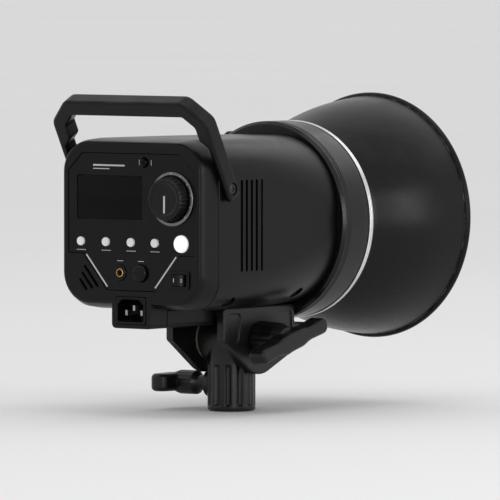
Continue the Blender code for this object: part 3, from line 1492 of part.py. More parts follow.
def make_reflector():
    back = FLANGE_Y - FLANGE_THICKNESS - GAP
    mouth = back - REFLECTOR_LENGTH
    rim = REFLECTOR_RIM
    shoulder = REFLECTOR_SHOULDER
    outer = [(back, BAYONET_BORE), (back, REFLECTOR_NECK - shoulder)]
    inner = [(back - REFLECTOR_WALL, BAYONET_BORE)]
    for station in range(REFLECTOR_STATIONS + 1):
        part = station / REFLECTOR_STATIONS
        along = back - shoulder - (REFLECTOR_LENGTH - shoulder - RIM_REAR * rim) * part
        outer.append((along, reflector_radius(part)))
        inner.append((along, reflector_radius(part) - REFLECTOR_WALL))
    inner.insert(1, (back - REFLECTOR_WALL, REFLECTOR_NECK - shoulder - REFLECTOR_WALL))
    lip = [
        (mouth + RIM_REAR * rim, REFLECTOR_MOUTH + rim * RIM_FOOT),
        (mouth + RIM_HIGH * rim, REFLECTOR_MOUTH + rim * RIM_CREST),
        (mouth + RIM_LOW * rim, REFLECTOR_MOUTH + rim),
        (mouth, REFLECTOR_MOUTH + rim * RIM_FOOT),
        (mouth, REFLECTOR_MOUTH - REFLECTOR_WALL),
    ]
    bm = bmesh.new()
    add_turned(bm, outer + lip + list(reversed(inner)), steps=ROUND_STEPS + 8, hollow=True)
    add_piece("reflector", bm, BLACK_PAINT)


# Lamp parts in front of the collar's back wall

PLATE_REAR_Y = COLLAR_REAR_Y - COLLAR_BACK_WALL - GAP
PLATE_FRONT_Y = PLATE_REAR_Y - FRONT_PLATE_THICKNESS


def make_front_plate():
    bm = bmesh.new()
    add_rod(bm, PLATE_FRONT_Y, PLATE_REAR_Y, FRONT_PLATE_RADIUS, "Y", ROUND_STEPS)
    plate = add_piece("front_plate", bm, SILVER)
    holes = bmesh.new()
    start = PLATE_FRONT_Y - CUT_PAST
    end = PLATE_REAR_Y + CUT_PAST
    add_rod(holes, start, end, LAMP_SOCKET_RADIUS + GAP, "Y", ROUND_STEPS // 2)
    cut(plate, "lamp_hole", holes)


def make_lamp():
    front = PLATE_FRONT_Y - LAMP_SOCKET_LENGTH + LAMP_SOCKET_BACK
    rear = PLATE_FRONT_Y + LAMP_SOCKET_BACK
    bore = LAMP_NECK_RADIUS + GAP
    floor = rear - LAMP_SOCKET_FLOOR
    bm = bmesh.new()
    profile = (
        (rear, 0),
        (rear, LAMP_SOCKET_RADIUS),
        (front, LAMP_SOCKET_RADIUS),
        (front, bore),
        (floor, bore),
        (floor, 0),
    )
    add_turned(bm, profile, steps=ROUND_STEPS // 2)
    add_piece("lamp_socket", bm, CERAMIC)

    base_end = floor - GAP
    shoulder = front - LAMP_SHOULDER
    tip = shoulder - LAMP_LENGTH + LAMP_BULB_RADIUS
    profile = [(base_end, 0), (base_end, LAMP_NECK_RADIUS)]
    profile.append((front - LAMP_NECK_END, LAMP_NECK_RADIUS))
    profile.append((shoulder - LAMP_SWELL, LAMP_BULB_RADIUS * LAMP_SWELL_SHARE))
    for step in range(LAMP_STEPS):
        turn = math.pi / 2 * step / LAMP_STEPS
        along = tip - LAMP_BULB_RADIUS * math.sin(turn)
        profile.append((along, LAMP_BULB_RADIUS * math.cos(turn)))
    profile.append((tip - LAMP_BULB_RADIUS, 0))
    bm = bmesh.new()
    add_turned(bm, profile, steps=ROUND_STEPS // 2)
    add_piece("modelling_lamp", bm, GLASS)


def make_flash_tube():
    """Ring of quartz tube with two legs bent back into the sockets."""
    gap_half = TUBE_OPENING / 2
    legs_back = PLATE_FRONT_Y - TUBE_SOCKET_LENGTH + TUBE_SEAT
    sides = math.tau - 2 * gap_half
    arc = []
    for step in range(TUBE_STEPS + 1):
        turn = -math.pi / 2 + gap_half + sides * step / TUBE_STEPS
        arc.append((TUBE_RING_RADIUS * math.cos(turn), TUBE_RING_Y, TUBE_RING_RADIUS * math.sin(turn)))
    first, last = arc[0], arc[-1]
    bend = TUBE_RING_Y + TUBE_BEND
    lead_in = [(first[0], legs_back, first[2]), (first[0], bend, first[2])]
    lead_out = [(last[0], bend, last[2]), (last[0], legs_back, last[2])]
    route = lead_in + arc + lead_out
    curve = bpy.data.curves.new("flash_tube", "CURVE")
    curve.dimensions = "3D"
    curve.bevel_depth = TUBE_RADIUS
    curve.bevel_resolution = 2
    curve.use_fill_caps = True
    spline = curve.splines.new("POLY")
    spline.points.add(len(route) - 1)
    for knot, place in zip(spline.points, route):
        knot.co = (*place, 1)
    tube = bpy.data.objects.new("flash_tube", curve)
    bpy.context.scene.collection.objects.link(tube)
    tube.parent = optical_axis
    material = bpy.data.materials.new("flash_tube")
    material.use_nodes = True
    shader = material.node_tree.nodes["Principled BSDF"]
    shader.inputs["Base Color"].default_value = (*GLASS[0], 1)
    shader.inputs["Roughness"].default_value = GLASS[1]
    curve.materials.append(material)

    front = PLATE_FRONT_Y - GAP - TUBE_SOCKET_LENGTH
    bore = TUBE_RADIUS + 2 * GAP
    for name, end in (("left", first), ("right", last)):
        bm = bmesh.new()
        floor = legs_back + GAP
        rear = PLATE_FRONT_Y - GAP
        profile = (
            (rear, 0),
            (rear, TUBE_SOCKET_RADIUS),
            (front, TUBE_SOCKET_RADIUS),
            (front, bore),
            (floor, bore),
            (floor, 0),
        )
        add_turned(bm, profile, steps=SMALL_STEPS)
        add_piece(f"tube_socket_{name}", bm, CERAMIC, at=(end[0], 0, end[2]))


# Inside the housing: tray, capacitors, power board, transformer and fan

def make_tray():
    bm = bmesh.new()
    low = TRAY_Z - TRAY_THICKNESS
    half = TRAY_HALF_WIDTH
    outline = rectangle(-half, half, low, TRAY_Z + TRAY_FLANGE)
    add_prism(bm, outline, TRAY_FRONT, TRAY_REAR)
    tray = add_piece("chassis_tray", bm, SILVER)
    inside = bmesh.new()
    inner = half - TRAY_THICKNESS
    outline = rectangle(-inner, inner, TRAY_Z, TRAY_Z + TRAY_FLANGE + CUT_PAST)
    add_prism(inside, outline, TRAY_FRONT - CUT_PAST, TRAY_REAR + CUT_PAST)
    cut(tray, "inside", inside)


def make_capacitors():
    start = TRAY_FRONT + CAPACITOR_END
    end = start + CAPACITOR_LENGTH
    height = TRAY_Z + GAP + CAPACITOR_RADIUS
    edge = CAPACITOR_EDGE
    for side, name in ((1, "left"), (-1, "right")):
        bm = bmesh.new()
        profile = (
            (start, 0),
            (start, CAPACITOR_RADIUS - edge),
            (start + edge, CAPACITOR_RADIUS),
            (end - edge, CAPACITOR_RADIUS),
            (end, CAPACITOR_RADIUS - edge),
            (end, CAPACITOR_TERMINAL),
            (end + CAPACITOR_END, CAPACITOR_TERMINAL),
            (end + CAPACITOR_END, 0),
        )
        add_turned(bm, profile, steps=ROUND_STEPS // 2)
        place = (side * CAPACITOR_X, 0, height)
        add_piece(f"flash_capacitor_{name}", bm, SLEEVE_BLUE, at=place)


def make_power_board():
    wide, long, thick = POWER_BOARD_SIZE
    middle = (TRAY_FRONT + TRAY_REAR) / 2
    top = TRAY_Z - TRAY_THICKNESS - STANDOFF
    bm = bmesh.new()
    add_bar(bm, (0, middle, top - thick / 2), (wide, long, thick))
    board = add_piece("power_board", bm, BOARD_GREEN)
    posts = bmesh.new()
    for side_x in (1, -1):
        for side_y in (1, -1):
            centre = (side_x * (wide / 2 - POST_INSET), middle + side_y * (long / 2 - POST_INSET))
            add_rod(posts, top - thick / 2, top + STANDOFF - GAP, POST_RADIUS, "Z", TINY_STEPS, centre)
    join(board, "posts", posts)

    bm = bmesh.new()
    width, depth, height = TRANSFORMER_SIZE
    centre = (0, middle, top - thick - GAP - height / 2)
    add_bar(bm, centre, (width, depth, height), TRANSFORMER_EDGE)
    add_piece("transformer", bm, FIBRE_GREY)


def make_fan():
    rear = FAN_REAR
    front = rear - FAN_DEPTH
    bm = bmesh.new()
    add_prism(bm, rectangle(-FAN_HALF, FAN_HALF, -FAN_HALF, FAN_HALF), front, rear)
    frame = add_piece("fan_frame", bm, BLACK_MOULDED)
    bore = bmesh.new()
    add_rod(bore, front - CUT_PAST, rear + CUT_PAST, FAN_BORE, steps=ROUND_STEPS)
    cut(frame, "bore", bore)
    motor = bmesh.new()
    strut = FAN_STRUT
    add_rod(motor, front, front + FAN_MOTOR_PLATE, FAN_HUB, steps=SMALL_STEPS)
    join(frame, "motor", motor)
    spider = bmesh.new()
    for turn in range(3):
        angle = math.tau * turn / 3
        along = Vector((math.sin(angle), 0, math.cos(angle)))
        across = Vector((math.cos(angle), 0, -math.sin(angle))) * strut
        near = along * FAN_HUB * FAN_STRUT_ROOT
        far = along * (FAN_BORE + FAN_STRUT_SEAT)
        ends = []
        for y in (front + strut * 0.1, front + strut):
            level = Vector((0, y, 0))
            corners = (near - across, near + across, far + across, far - across)
            ends.append([level + corner for corner in corners])
        add_loft(spider, ends)
    join(frame, "spider", spider)

    bm = bmesh.new()
    rotor_front = front + FAN_MOTOR_PLATE + 2 * GAP
    rotor_rear = rear - FAN_CLEARANCE
    add_rod(bm, rotor_front, rotor_rear, FAN_HUB, steps=SMALL_STEPS)
    rotor = add_piece("fan_rotor", bm, BLACK_SMOOTH)
    blades = bmesh.new()
    blade_low = rotor_front + FAN_BLADE_INSET
    blade_high = rotor_rear - FAN_BLADE_INSET
    root = FAN_HUB - FAN_CLEARANCE
    blade_tip = FAN_BORE - FAN_CLEARANCE
    for index in range(FAN_BLADES):
        start = math.tau * index / FAN_BLADES
        sections = []
        for y, turn in ((blade_low, start), (blade_high, start + FAN_BLADE_SWEEP)):
            edge = turn + FAN_BLADE_ARC
            corners = [(root, turn), (blade_tip, turn), (blade_tip, edge), (root, edge)]
            sections.append([point("Y", y, r * math.sin(t), r * math.cos(t)) for r, t in corners])
        add_loft(blades, sections)
    join(rotor, "blades", blades)


make_stand_receiver()
make_spigot_clamp_shoe()
make_stand_lock_knob()
make_tilt_base()
make_base_screws()
make_tilt_bolt()
make_friction_washers()
make_tilt_lock_handle()
make_umbrella_lock_screw()
make_main_housing()
make_side_screws()
make_rear_cover()
make_control_panel()
make_display()
make_dial()
make_buttons()
make_control_board()
make_sockets()
make_slave_sensor()
make_power_switch()
make_mains_inlet()
make_inlet_channel()
make_handle()
make_handle_screws()
make_front_collar()
make_mount_ring()
make_release_latch()
make_bayonet_ring()
make_reflector()
make_front_plate()
make_lamp()
make_flash_tube()
make_tray()
make_capacitors()
make_power_board()
make_fan()
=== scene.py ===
"""Monolight strobe: a studio flash head on its tilting stand bracket, with a bowl reflector.

Metres. The light leaves toward -Y, the control panel faces +Y and +Z is up. The pieces come
in the order in which the head is put together, from the stand receiver to the lamp.
"""

import math

import bmesh
import bpy
from mathutils import Matrix, Vector


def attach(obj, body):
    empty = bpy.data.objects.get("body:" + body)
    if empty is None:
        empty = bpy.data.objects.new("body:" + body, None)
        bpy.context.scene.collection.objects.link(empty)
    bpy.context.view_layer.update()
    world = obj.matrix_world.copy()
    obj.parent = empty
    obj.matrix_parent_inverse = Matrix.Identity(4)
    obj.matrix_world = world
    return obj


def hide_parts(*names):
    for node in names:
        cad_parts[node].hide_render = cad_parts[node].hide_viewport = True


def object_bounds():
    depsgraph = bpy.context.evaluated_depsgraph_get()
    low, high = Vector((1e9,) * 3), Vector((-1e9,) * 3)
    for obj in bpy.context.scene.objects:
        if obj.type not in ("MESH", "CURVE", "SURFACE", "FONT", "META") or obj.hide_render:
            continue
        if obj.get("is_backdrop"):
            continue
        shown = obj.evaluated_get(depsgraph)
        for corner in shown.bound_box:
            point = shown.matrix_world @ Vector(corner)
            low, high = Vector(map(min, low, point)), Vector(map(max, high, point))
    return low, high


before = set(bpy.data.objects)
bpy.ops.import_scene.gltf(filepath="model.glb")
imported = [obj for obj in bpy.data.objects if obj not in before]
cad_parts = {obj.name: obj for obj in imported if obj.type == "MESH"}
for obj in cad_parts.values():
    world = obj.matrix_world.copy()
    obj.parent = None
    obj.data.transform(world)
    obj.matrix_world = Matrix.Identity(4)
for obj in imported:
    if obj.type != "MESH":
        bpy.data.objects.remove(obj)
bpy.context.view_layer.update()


# Stand receiver. A die-cast aluminium tube with long flutes that takes the stand's 16 mm
# spigot, a boss for the lock screw and a cross eye for the tilt bolt. It is cast in one,
# bored, and finished in black powder coat.
GAP = 0.0003  # between pieces that fit together
PAST = 0.004  # how far a cutter runs on past a face
PIVOT = Vector((0, 0, 0.052))
RECEIVER_RADIUS = 0.0175
RECEIVER_TOP = 0.0493
RECEIVER_CHAMFER = 0.0012
SOCKET_RADIUS = 0.0082
SOCKET_DEPTH = 0.038
SOCKET_CHAMFER = 0.001
FLUTES = 12
FLUTE_DEPTH = 0.0020
FLUTE_LOW = 0.003
FLUTE_HIGH = 0.034
FLUTE_RUN = 0.002
EYE_RADIUS = 0.018
EYE_HALF = 0.018
EYE_ROUND = 0.0014
BOLT_HOLE = 0.0043
BOLT_HOLE_TURN = 0.04  # keeps the hole's facets off the eye's
LOCK_AT = Vector((0, 0, 0.019))
LOCK_HOLE = 0.0053
BOSS_RADIUS = 0.0105
BOSS_START = RECEIVER_RADIUS * 0.4
BOSS_END = 0.0198
CRISP = math.radians(32)  # edges sharper than this stay edges
DIRECTIONS = {
    "X": (Vector((1, 0, 0)), Vector((0, 1, 0)), Vector((0, 0, 1))),
    "Y": (Vector((0, 1, 0)), Vector((0, 0, 1)), Vector((1, 0, 0))),
    "Z": (Vector((0, 0, 1)), Vector((1, 0, 0)), Vector((0, 1, 0))),
}


def rounded(corners, steps, closed=False):
    """An outline with its corners rounded; each corner is (a, b) or (a, b, radius)."""
    points = []
    last = len(corners) - 1
    for index, corner in enumerate(corners):
        here = Vector(corner[:2])
        radius = corner[2] if len(corner) > 2 else 0
        if not radius or (not closed and index in (0, last)):
            points.append(here)
            continue
        before = Vector(corners[index - 1][:2]) - here
        after = Vector(corners[(index + 1) % len(corners)][:2]) - here
        half = before.angle(after) / 2
        reach = min(radius / math.tan(half), before.length * 0.49, after.length * 0.49)
        radius = reach * math.tan(half)
        before.normalize()
        after.normalize()
        centre = here + (before + after).normalized() * radius / math.sin(half)
        start = here + before * reach - centre
        end = here + after * reach - centre
        sweep = start.angle_signed(end)
        for step in range(steps + 1):
            points.append(centre + Matrix.Rotation(-sweep * step / steps, 2) @ start)
    return [tuple(spot) for spot in points]


def skin(bm, rings, closed=False):
    """Faces between rings of points; a ring of one point is a tip."""
    rows = [[bm.verts.new(spot) for spot in ring] for ring in rings]
    pairs = list(zip(rows, rows[1:]))
    if closed:
        pairs.append((rows[-1], rows[0]))
    for lower, upper in pairs:
        for index in range(max(len(lower), len(upper))):
            corners = []
            for row, turn in ((lower, 0), (lower, 1), (upper, 1), (upper, 0)):
                vert = row[(index + turn) % len(row)]
                if vert not in corners:
                    corners.append(vert)
            bm.faces.new(corners)
    if not closed:
        for row in (rows[0], rows[-1]):
            if len(row) > 2:
                bm.faces.new(row)
    return bm


def turned(corners, axis="Y", centre=(0, 0, 0), steps=96, closed=False, shaped=None, fine=5):
    """A lathe shape of (along, radius) corners; shaped may change each radius."""
    along, across, up = DIRECTIONS[axis]
    rings = []
    for reach, radius in rounded(corners, fine):
        middle = Vector(centre) + along * reach
        if radius < 1e-6:
            rings.append([middle])
            continue
        ring = []
        for step in range(steps):
            turn = math.tau * step / steps
            size = shaped(reach, radius, turn) if shaped else radius
            ring.append(middle + across * size * math.cos(turn) + up * size * math.sin(turn))
        rings.append(ring)
    return skin(bmesh.new(), rings, closed)


def rod(low, high, radius, axis, centre=(0, 0, 0), steps=32, edge=0.0):
    """A round bar, to bore with or to join on."""
    corners = [(low, 0), (low, radius, edge), (high, radius, edge), (high, 0)]
    return turned(corners, axis, centre, steps)


def placed(bm, matrix):
    bmesh.ops.transform(bm, matrix=matrix, verts=bm.verts)
    return bm


def moved(bm, at=(0, 0, 0), turn=0.0, axis="X"):
    """A shape turned about its own axis, then put in its place."""
    return placed(bm, Matrix.Translation(at) @ Matrix.Rotation(turn, 4, axis))


def meshed(name, bm):
    """An object of a finished shape, with its faces turned outward."""
    bmesh.ops.recalc_face_normals(bm, faces=bm.faces)
    mesh = bpy.data.meshes.new(name)
    bm.to_mesh(mesh)
    bm.free()
    made = bpy.data.objects.new(name, mesh)
    bpy.context.scene.collection.objects.link(made)
    return made


def crisp(made):
    """Smooth over curves and sharp at corners."""
    made.data.polygons.foreach_set("use_smooth", [True] * len(made.data.polygons))
    made.data.set_sharp_from_angle(angle=CRISP)


def piece(name, bm, material, slot, *stands_for, body="head"):
    """A named piece that rides on its body, in the place of the nodes it stands for."""
    made = meshed(name, bm)
    made.data.materials.append(material)
    crisp(made)
    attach(made, body)
    if stands_for:
        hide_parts(*stands_for)
    return made


def worked(made, shapes, how):
    for bm in shapes:
        tool = meshed("tool", bm)
        change = made.modifiers.new("work", "BOOLEAN")
        change.operation = how
        change.solver = "EXACT"
        change.object = tool
        bpy.context.view_layer.update()
        shape = made.evaluated_get(bpy.context.evaluated_depsgraph_get())
        result = bpy.data.meshes.new_from_object(shape)
        clean = bmesh.new()
        clean.from_mesh(result)
        bmesh.ops.remove_doubles(clean, verts=clean.verts, dist=4e-6)
        clean.to_mesh(result)
        clean.free()
        made.modifiers.clear()
        made.data = result
        bpy.data.objects.remove(tool)
        crisp(made)


def cut(made, *shapes):
    """Cuts each shape out of a piece in turn."""
    worked(made, shapes, "DIFFERENCE")


def joined(made, *shapes):
    """Joins each shape to a piece in turn."""
    worked(made, shapes, "UNION")


def eased(made, width=0.0003, segments=2):
    """Small radii on every crisp edge, with the flat faces kept flat to the eye."""
    bevel = made.modifiers.new("radii", "BEVEL")
    bevel.width = width
    bevel.segments = segments
    bevel.limit_method = "ANGLE"
    bevel.angle_limit = CRISP
    bevel.use_clamp_overlap = False
    bevel.harden_normals = False
    smooth = made.modifiers.new("flats", "WEIGHTED_NORMAL")
    smooth.keep_sharp = False


def feed(tree, socket, value):
    """Sets a shader socket to a plain value, or links another socket to it."""
    if isinstance(value, bpy.types.NodeSocket):
        tree.links.new(value, socket)
    else:
        socket.default_value = value


def node(tree, kind, inputs=(), **settings):
    """A shader node; inputs is (socket, value or other socket) pairs."""
    made = tree.nodes.new("ShaderNode" + kind)
    for name, value in settings.items():
        setattr(made, name, value)
    for name, value in inputs:
        feed(tree, made.inputs[name], value)
    return made


def object_spot(tree):
    return node(tree, "TexCoord").outputs["Object"]


def noise(tree, spot, scale, detail=2.0):
    inputs = (("Vector", spot), ("Scale", scale), ("Detail", detail))
    return node(tree, "TexNoise", inputs).outputs["Fac"]


def maths(tree, how, first, second, **settings):
    return node(tree, "Math", ((0, first), (1, second)), operation=how, **settings).outputs[0]


def stretched(tree, value, low, high, start=0.0, end=1.0):
    """A value that runs from low to high, made to run from start to end."""
    inputs = (("Value", value), ("From Min", low), ("From Max", high))
    inputs += (("To Min", start), ("To Max", end))
    return node(tree, "MapRange", inputs).outputs[0]


def colour_mix(tree, share, first, second):
    return node(tree, "Mix", ((0, share), (6, first), (7, second)), data_type="RGBA").outputs[2]


def bumped(tree, shader, height, distance):
    """Bump on the shader's normal, added to any that is there already."""
    bump = node(tree, "Bump", (("Height", height), ("Distance", distance)))
    for link in shader.inputs["Normal"].links:
        tree.links.new(link.from_socket, bump.inputs["Normal"])
    tree.links.new(bump.outputs[0], shader.inputs["Normal"])


def new_group(name, takes, gives):
    """An empty node group, of its inputs with their defaults and the names of its outputs."""
    tree = bpy.data.node_groups.new(name, "ShaderNodeTree")
    kind = "NodeSocketFloat"
    for label, default in takes.items():
        made = tree.interface.new_socket(name=label, in_out="INPUT", socket_type=kind)
        made.default_value = default
    for label in gives:
        tree.interface.new_socket(name=label, in_out="OUTPUT", socket_type=kind)
    start = tree.nodes.new("NodeGroupInput")
    end = tree.nodes.new("NodeGroupOutput")
    return tree, start.outputs, end.inputs


def place(tree, group, **values):
    """A node group in a material, with its inputs set by name."""
    made = tree.nodes.new("ShaderNodeGroup")
    made.node_tree = group
    for name, value in values.items():
        feed(tree, made.inputs[name], value)
    return made.outputs


def grain_group():
    """Fine pebbled texture: a height for bump, and a speckle that changes the colour."""
    inputs = {"Scale": 1500.0, "Pebbles": 0.5}
    tree, takes, gives = new_group("grain", inputs, ("Height", "Speckle"))
    spot = object_spot(tree)
    fine = noise(tree, spot, takes["Scale"], 3.0)
    coarser = maths(tree, "MULTIPLY", takes["Scale"], 0.45)
    cells = node(tree, "TexVoronoi", (("Vector", spot), ("Scale", coarser)), feature="SMOOTH_F1")
    both = node(tree, "Mix", ((0, takes["Pebbles"]), (2, fine), (3, cells.outputs["Distance"])))
    feed(tree, gives["Height"], both.outputs[0])
    feed(tree, gives["Speckle"], maths(tree, "MULTIPLY", fine, noise(tree, spot, 90.0, 4.0)))
    return tree


def wear_group():
    """Where hands and stands have rubbed the edges: a mask broken up by scratches."""
    tree, takes, gives = new_group("edge wear", {"Radius": 0.0008, "Amount": 0.5}, ("Mask",))
    soft = node(tree, "Bevel", (("Radius", takes["Radius"]),), samples=4).outputs[0]
    plain = node(tree, "NewGeometry").outputs["Normal"]
    match = node(tree, "VectorMath", ((0, soft), (1, plain)), operation="DOT_PRODUCT")
    edge = stretched(tree, match.outputs["Value"], 0.985, 0.86)
    bite = stretched(tree, noise(tree, object_spot(tree), 140.0, 6.0), 0.46, 0.68)
    rubbed = maths(tree, "MULTIPLY", edge, bite)
    feed(tree, gives["Mask"], maths(tree, "MULTIPLY", rubbed, takes["Amount"]))
    return tree


def dust_group():
    """Studio dust: it settles on what faces up, in soft patches and fine specks."""
    tree, takes, gives = new_group("dust", {"Amount": 0.3}, ("Mask",))
    up = node(tree, "SeparateXYZ", ((0, node(tree, "NewGeometry").outputs["Normal"]),))
    facing = stretched(tree, up.outputs["Z"], 0.1, 1.0)
    spot = object_spot(tree)
    patches = stretched(tree, noise(tree, spot, 45.0, 5.0), 0.40, 0.75)
    specks = stretched(tree, noise(tree, spot, 900.0), 0.55, 0.75)
    fallen = maths(tree, "MULTIPLY", maths(tree, "ADD", patches, specks), facing)
    feed(tree, gives["Mask"], maths(tree, "MULTIPLY", fallen, takes["Amount"], use_clamp=True))
    return tree


GRAIN = grain_group()
WEAR = wear_group()
DUST = dust_group()
DUST_COLOUR = (0.09, 0.088, 0.085, 1)


def new_material(name, **sockets):
    """A material with its shader; the names of its plain sockets have _ for each space."""
    material = bpy.data.materials.new(name)
    material.use_nodes = True
    shader = material.node_tree.nodes["Principled BSDF"]
    for label, value in sockets.items():
        shader.inputs[label.replace("_", " ")].default_value = value
    return material, material.node_tree, shader


def shade(colour, share=1.0):
    return (*[part * share for part in colour], 1)


def grey(level):
    return (level, level, level)


def coated(name, colour, bare, rough, grain, depth, wear=0.5, dust=0.3, pebbles=0.5, **sockets):
    """A moulded or painted finish: grained, rubbed at its edges and a little dusty."""
    material, tree, shader = new_material(name, **sockets)
    texture = place(tree, GRAIN, Scale=grain, Pebbles=pebbles)
    speckle = texture["Speckle"]
    rubbed = place(tree, WEAR, Amount=wear)["Mask"]
    dusty = place(tree, DUST, Amount=dust)["Mask"]
    tone = stretched(tree, speckle, 0.10, 0.42)
    base = colour_mix(tree, tone, shade(colour, 0.85), shade(colour, 1.15))
    worn = colour_mix(tree, rubbed, base, shade(bare))
    feed(tree, shader.inputs["Base Color"], colour_mix(tree, dusty, worn, DUST_COLOUR))
    sheen = stretched(tree, speckle, 0.0, 1.0, rough - 0.06, rough + 0.12)
    dull = maths(tree, "MULTIPLY", dusty, 0.4)
    feed(tree, shader.inputs["Roughness"], maths(tree, "ADD", sheen, dull, use_clamp=True))
    bumped(tree, shader, texture["Height"], depth)
    return material


CAST_BLACK = coated(
    "black powder coat", (0.0040, 0.0040, 0.0043), grey(0.07), 0.34, 900, 0.00010,
    wear=0.35, pebbles=0.7, Specular_IOR_Level=0.36,
)


def receiver_side(reach, radius, turn):
    """Flutes round the tube, faded out at both ends and left off under the boss."""
    if radius < RECEIVER_RADIUS - GAP:
        return radius
    ends = min(reach - FLUTE_LOW, FLUTE_HIGH - reach) / FLUTE_RUN
    fade = max(0.0, min(1.0, ends))
    wave = max(0.0, math.cos(turn * FLUTES) - 0.1) / 0.9
    clear = math.cos(turn) * radius < BOSS_RADIUS * 1.1
    return radius - FLUTE_DEPTH * fade * math.sqrt(wave) * clear


def make_stand_receiver():
    runs = [FLUTE_LOW + FLUTE_RUN * step / 4 for step in range(5)]
    runs += [FLUTE_HIGH - FLUTE_RUN * (1 - step / 4) for step in range(5)]
    third = RECEIVER_CHAMFER / 3
    side = [(0, 0), (0, RECEIVER_RADIUS - RECEIVER_CHAMFER), (third, RECEIVER_RADIUS - third)]
    side += [(reach, RECEIVER_RADIUS) for reach in (RECEIVER_CHAMFER, *runs, RECEIVER_TOP)]
    side.append((RECEIVER_TOP, 0))
    tube = turned(side, "Z", steps=FLUTES * 14, shaped=receiver_side)
    name = "stand_receiver"
    made = piece(name + "_cast", tube, CAST_BLACK, "cast_black", name, body="stand")
    eye = rod(-EYE_HALF, EYE_HALF, EYE_RADIUS, "X", PIVOT, 72, EYE_ROUND)
    joined(made, eye, rod(BOSS_START, BOSS_END, BOSS_RADIUS, "X", LOCK_AT, 48, 0.0012))
    mouth = SOCKET_RADIUS + SOCKET_CHAMFER
    low = 0.0004
    socket = [(-PAST, 0), (-PAST, mouth), (low, mouth), (low + SOCKET_CHAMFER, SOCKET_RADIUS)]
    socket += [(SOCKET_DEPTH, SOCKET_RADIUS), (SOCKET_DEPTH, 0)]
    bolt = rod(-EYE_HALF - PAST, EYE_HALF + PAST, BOLT_HOLE, "X")
    screw = rod(0, BOSS_END + PAST, LOCK_HOLE, "X", LOCK_AT)
    cut(made, turned(socket, "Z", steps=64), screw, moved(bolt, PIVOT, BOLT_HOLE_TURN))
    eased(made)


make_stand_receiver()


# Clamp shoe and stand lock. A brass shoe presses on the spigot, pushed by a steel screw
# with a winged knob of glass-filled nylon moulded onto it, turned by hand.
SHOE_SIDE = 0.0118
STUD_RADIUS = 0.005
NECK_RADIUS = 0.0055
NECK_END = 0.0301
HUB_RADIUS = 0.0088
HUB_END = 0.0501
HUB_RIBS = 9
WING_BACK = 0.0440
WING_FRONT = 0.0621
WING_ROOT = 0.0080
WING_SPAN = 0.0235
WING_HALF = 0.0065


def metal(name, colour, rough, spread, scale, depth, stretch=(1, 1, 1)):
    """Bare or plated metal: fine tool marks, soft smudges and brighter rubbed edges."""
    material, tree, shader = new_material(name, Metallic=1.0)
    spot = object_spot(tree)
    drawn = node(tree, "Mapping", (("Vector", spot), ("Scale", stretch))).outputs[0]
    marks = noise(tree, drawn, scale, 4.0)
    smudge = noise(tree, spot, 70.0, 3.0)
    base = colour_mix(tree, smudge, shade(colour, 0.78), shade(colour))
    bright = shade([min(1, part * 1.2) for part in colour])
    rubbed = place(tree, WEAR, Amount=0.6)["Mask"]
    feed(tree, shader.inputs["Base Color"], colour_mix(tree, rubbed, base, bright))
    dull = maths(tree, "MULTIPLY", marks, smudge)
    feed(tree, shader.inputs["Roughness"], stretched(tree, dull, 0.12, 0.40, rough, rough + spread))
    bumped(tree, shader, marks, depth)
    return material


def carried(material, *names, width=0.0002):
    """Nodes that keep their own shape, with small radii and a full finish."""
    for name in names:
        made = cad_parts[name]
        made.data.materials.clear()
        made.data.materials.append(material)
        flat = made.modifiers.new("flat faces", "DECIMATE")
        flat.decimate_type = "DISSOLVE"
        flat.angle_limit = math.radians(1)
        eased(made, width)


def block(corners, low, high, axis, edge=0.0, steps=4, fine=5):
    """A prism of an outline; both of its rims are rounded by the edge radius."""
    along, across, up = DIRECTIONS[axis]
    if axis == "Y":
        across, up = up, across
    outline = [Vector(spot) for spot in rounded(corners, fine, closed=True)]
    turns = [math.pi / 2 * step / steps for step in range(steps + 1)] if edge else [0]
    rims = [(edge * (1 - math.cos(turn)), edge * (1 - math.sin(turn))) for turn in turns]
    levels = [(low + rise, inset) for rise, inset in rims]
    levels += [(high - rise, inset) for rise, inset in reversed(rims)]
    area = sum(outline[i - 1].cross(outline[i]) for i in range(len(outline)))
    hand = 1 if area > 0 else -1
    rings = []
    for level, inset in levels:
        ring = []
        for index, here in enumerate(outline):
            before = (here - outline[index - 1]).normalized()
            after = (outline[(index + 1) % len(outline)] - here).normalized()
            inward = Vector((-before.y - after.y, before.x + after.x)) * hand
            spot = here + inward * inset / max(inward.length_squared / 2, 0.2)
            ring.append(along * level + across * spot.x + up * spot.y)
        rings.append(ring)
    return skin(bmesh.new(), rings)


def mirrored(half, flip=0):
    """Half an outline and its mirror image; flip is the coordinate that changes sign."""
    image = []
    for corner in reversed(half):
        if corner[flip]:
            image.append((*corner[:flip], -corner[flip], *corner[flip + 1 :]))
    return [*half, *image]


KNOB_BLACK = coated(
    "black nylon", (0.0035, 0.0035, 0.0038), grey(0.04), 0.36, 1300, 0.00006,
    wear=0.4, Specular_IOR_Level=0.32,
)
BRASS = metal("turned brass", (0.62, 0.42, 0.16), 0.25, 0.25, 600, 0.00002)
STEEL = metal("zinc-plated steel", (0.46, 0.46, 0.47), 0.24, 0.25, 500, 0.00002)


def ribbed_hub(reach, radius, turn):
    """Finger ribs along the hub, only where the hub is at its full size."""
    if radius < HUB_RADIUS * 0.93 or reach > HUB_END - 0.003:
        return radius
    return radius - 0.00035 * (1 - abs(math.cos(turn * HUB_RIBS)))


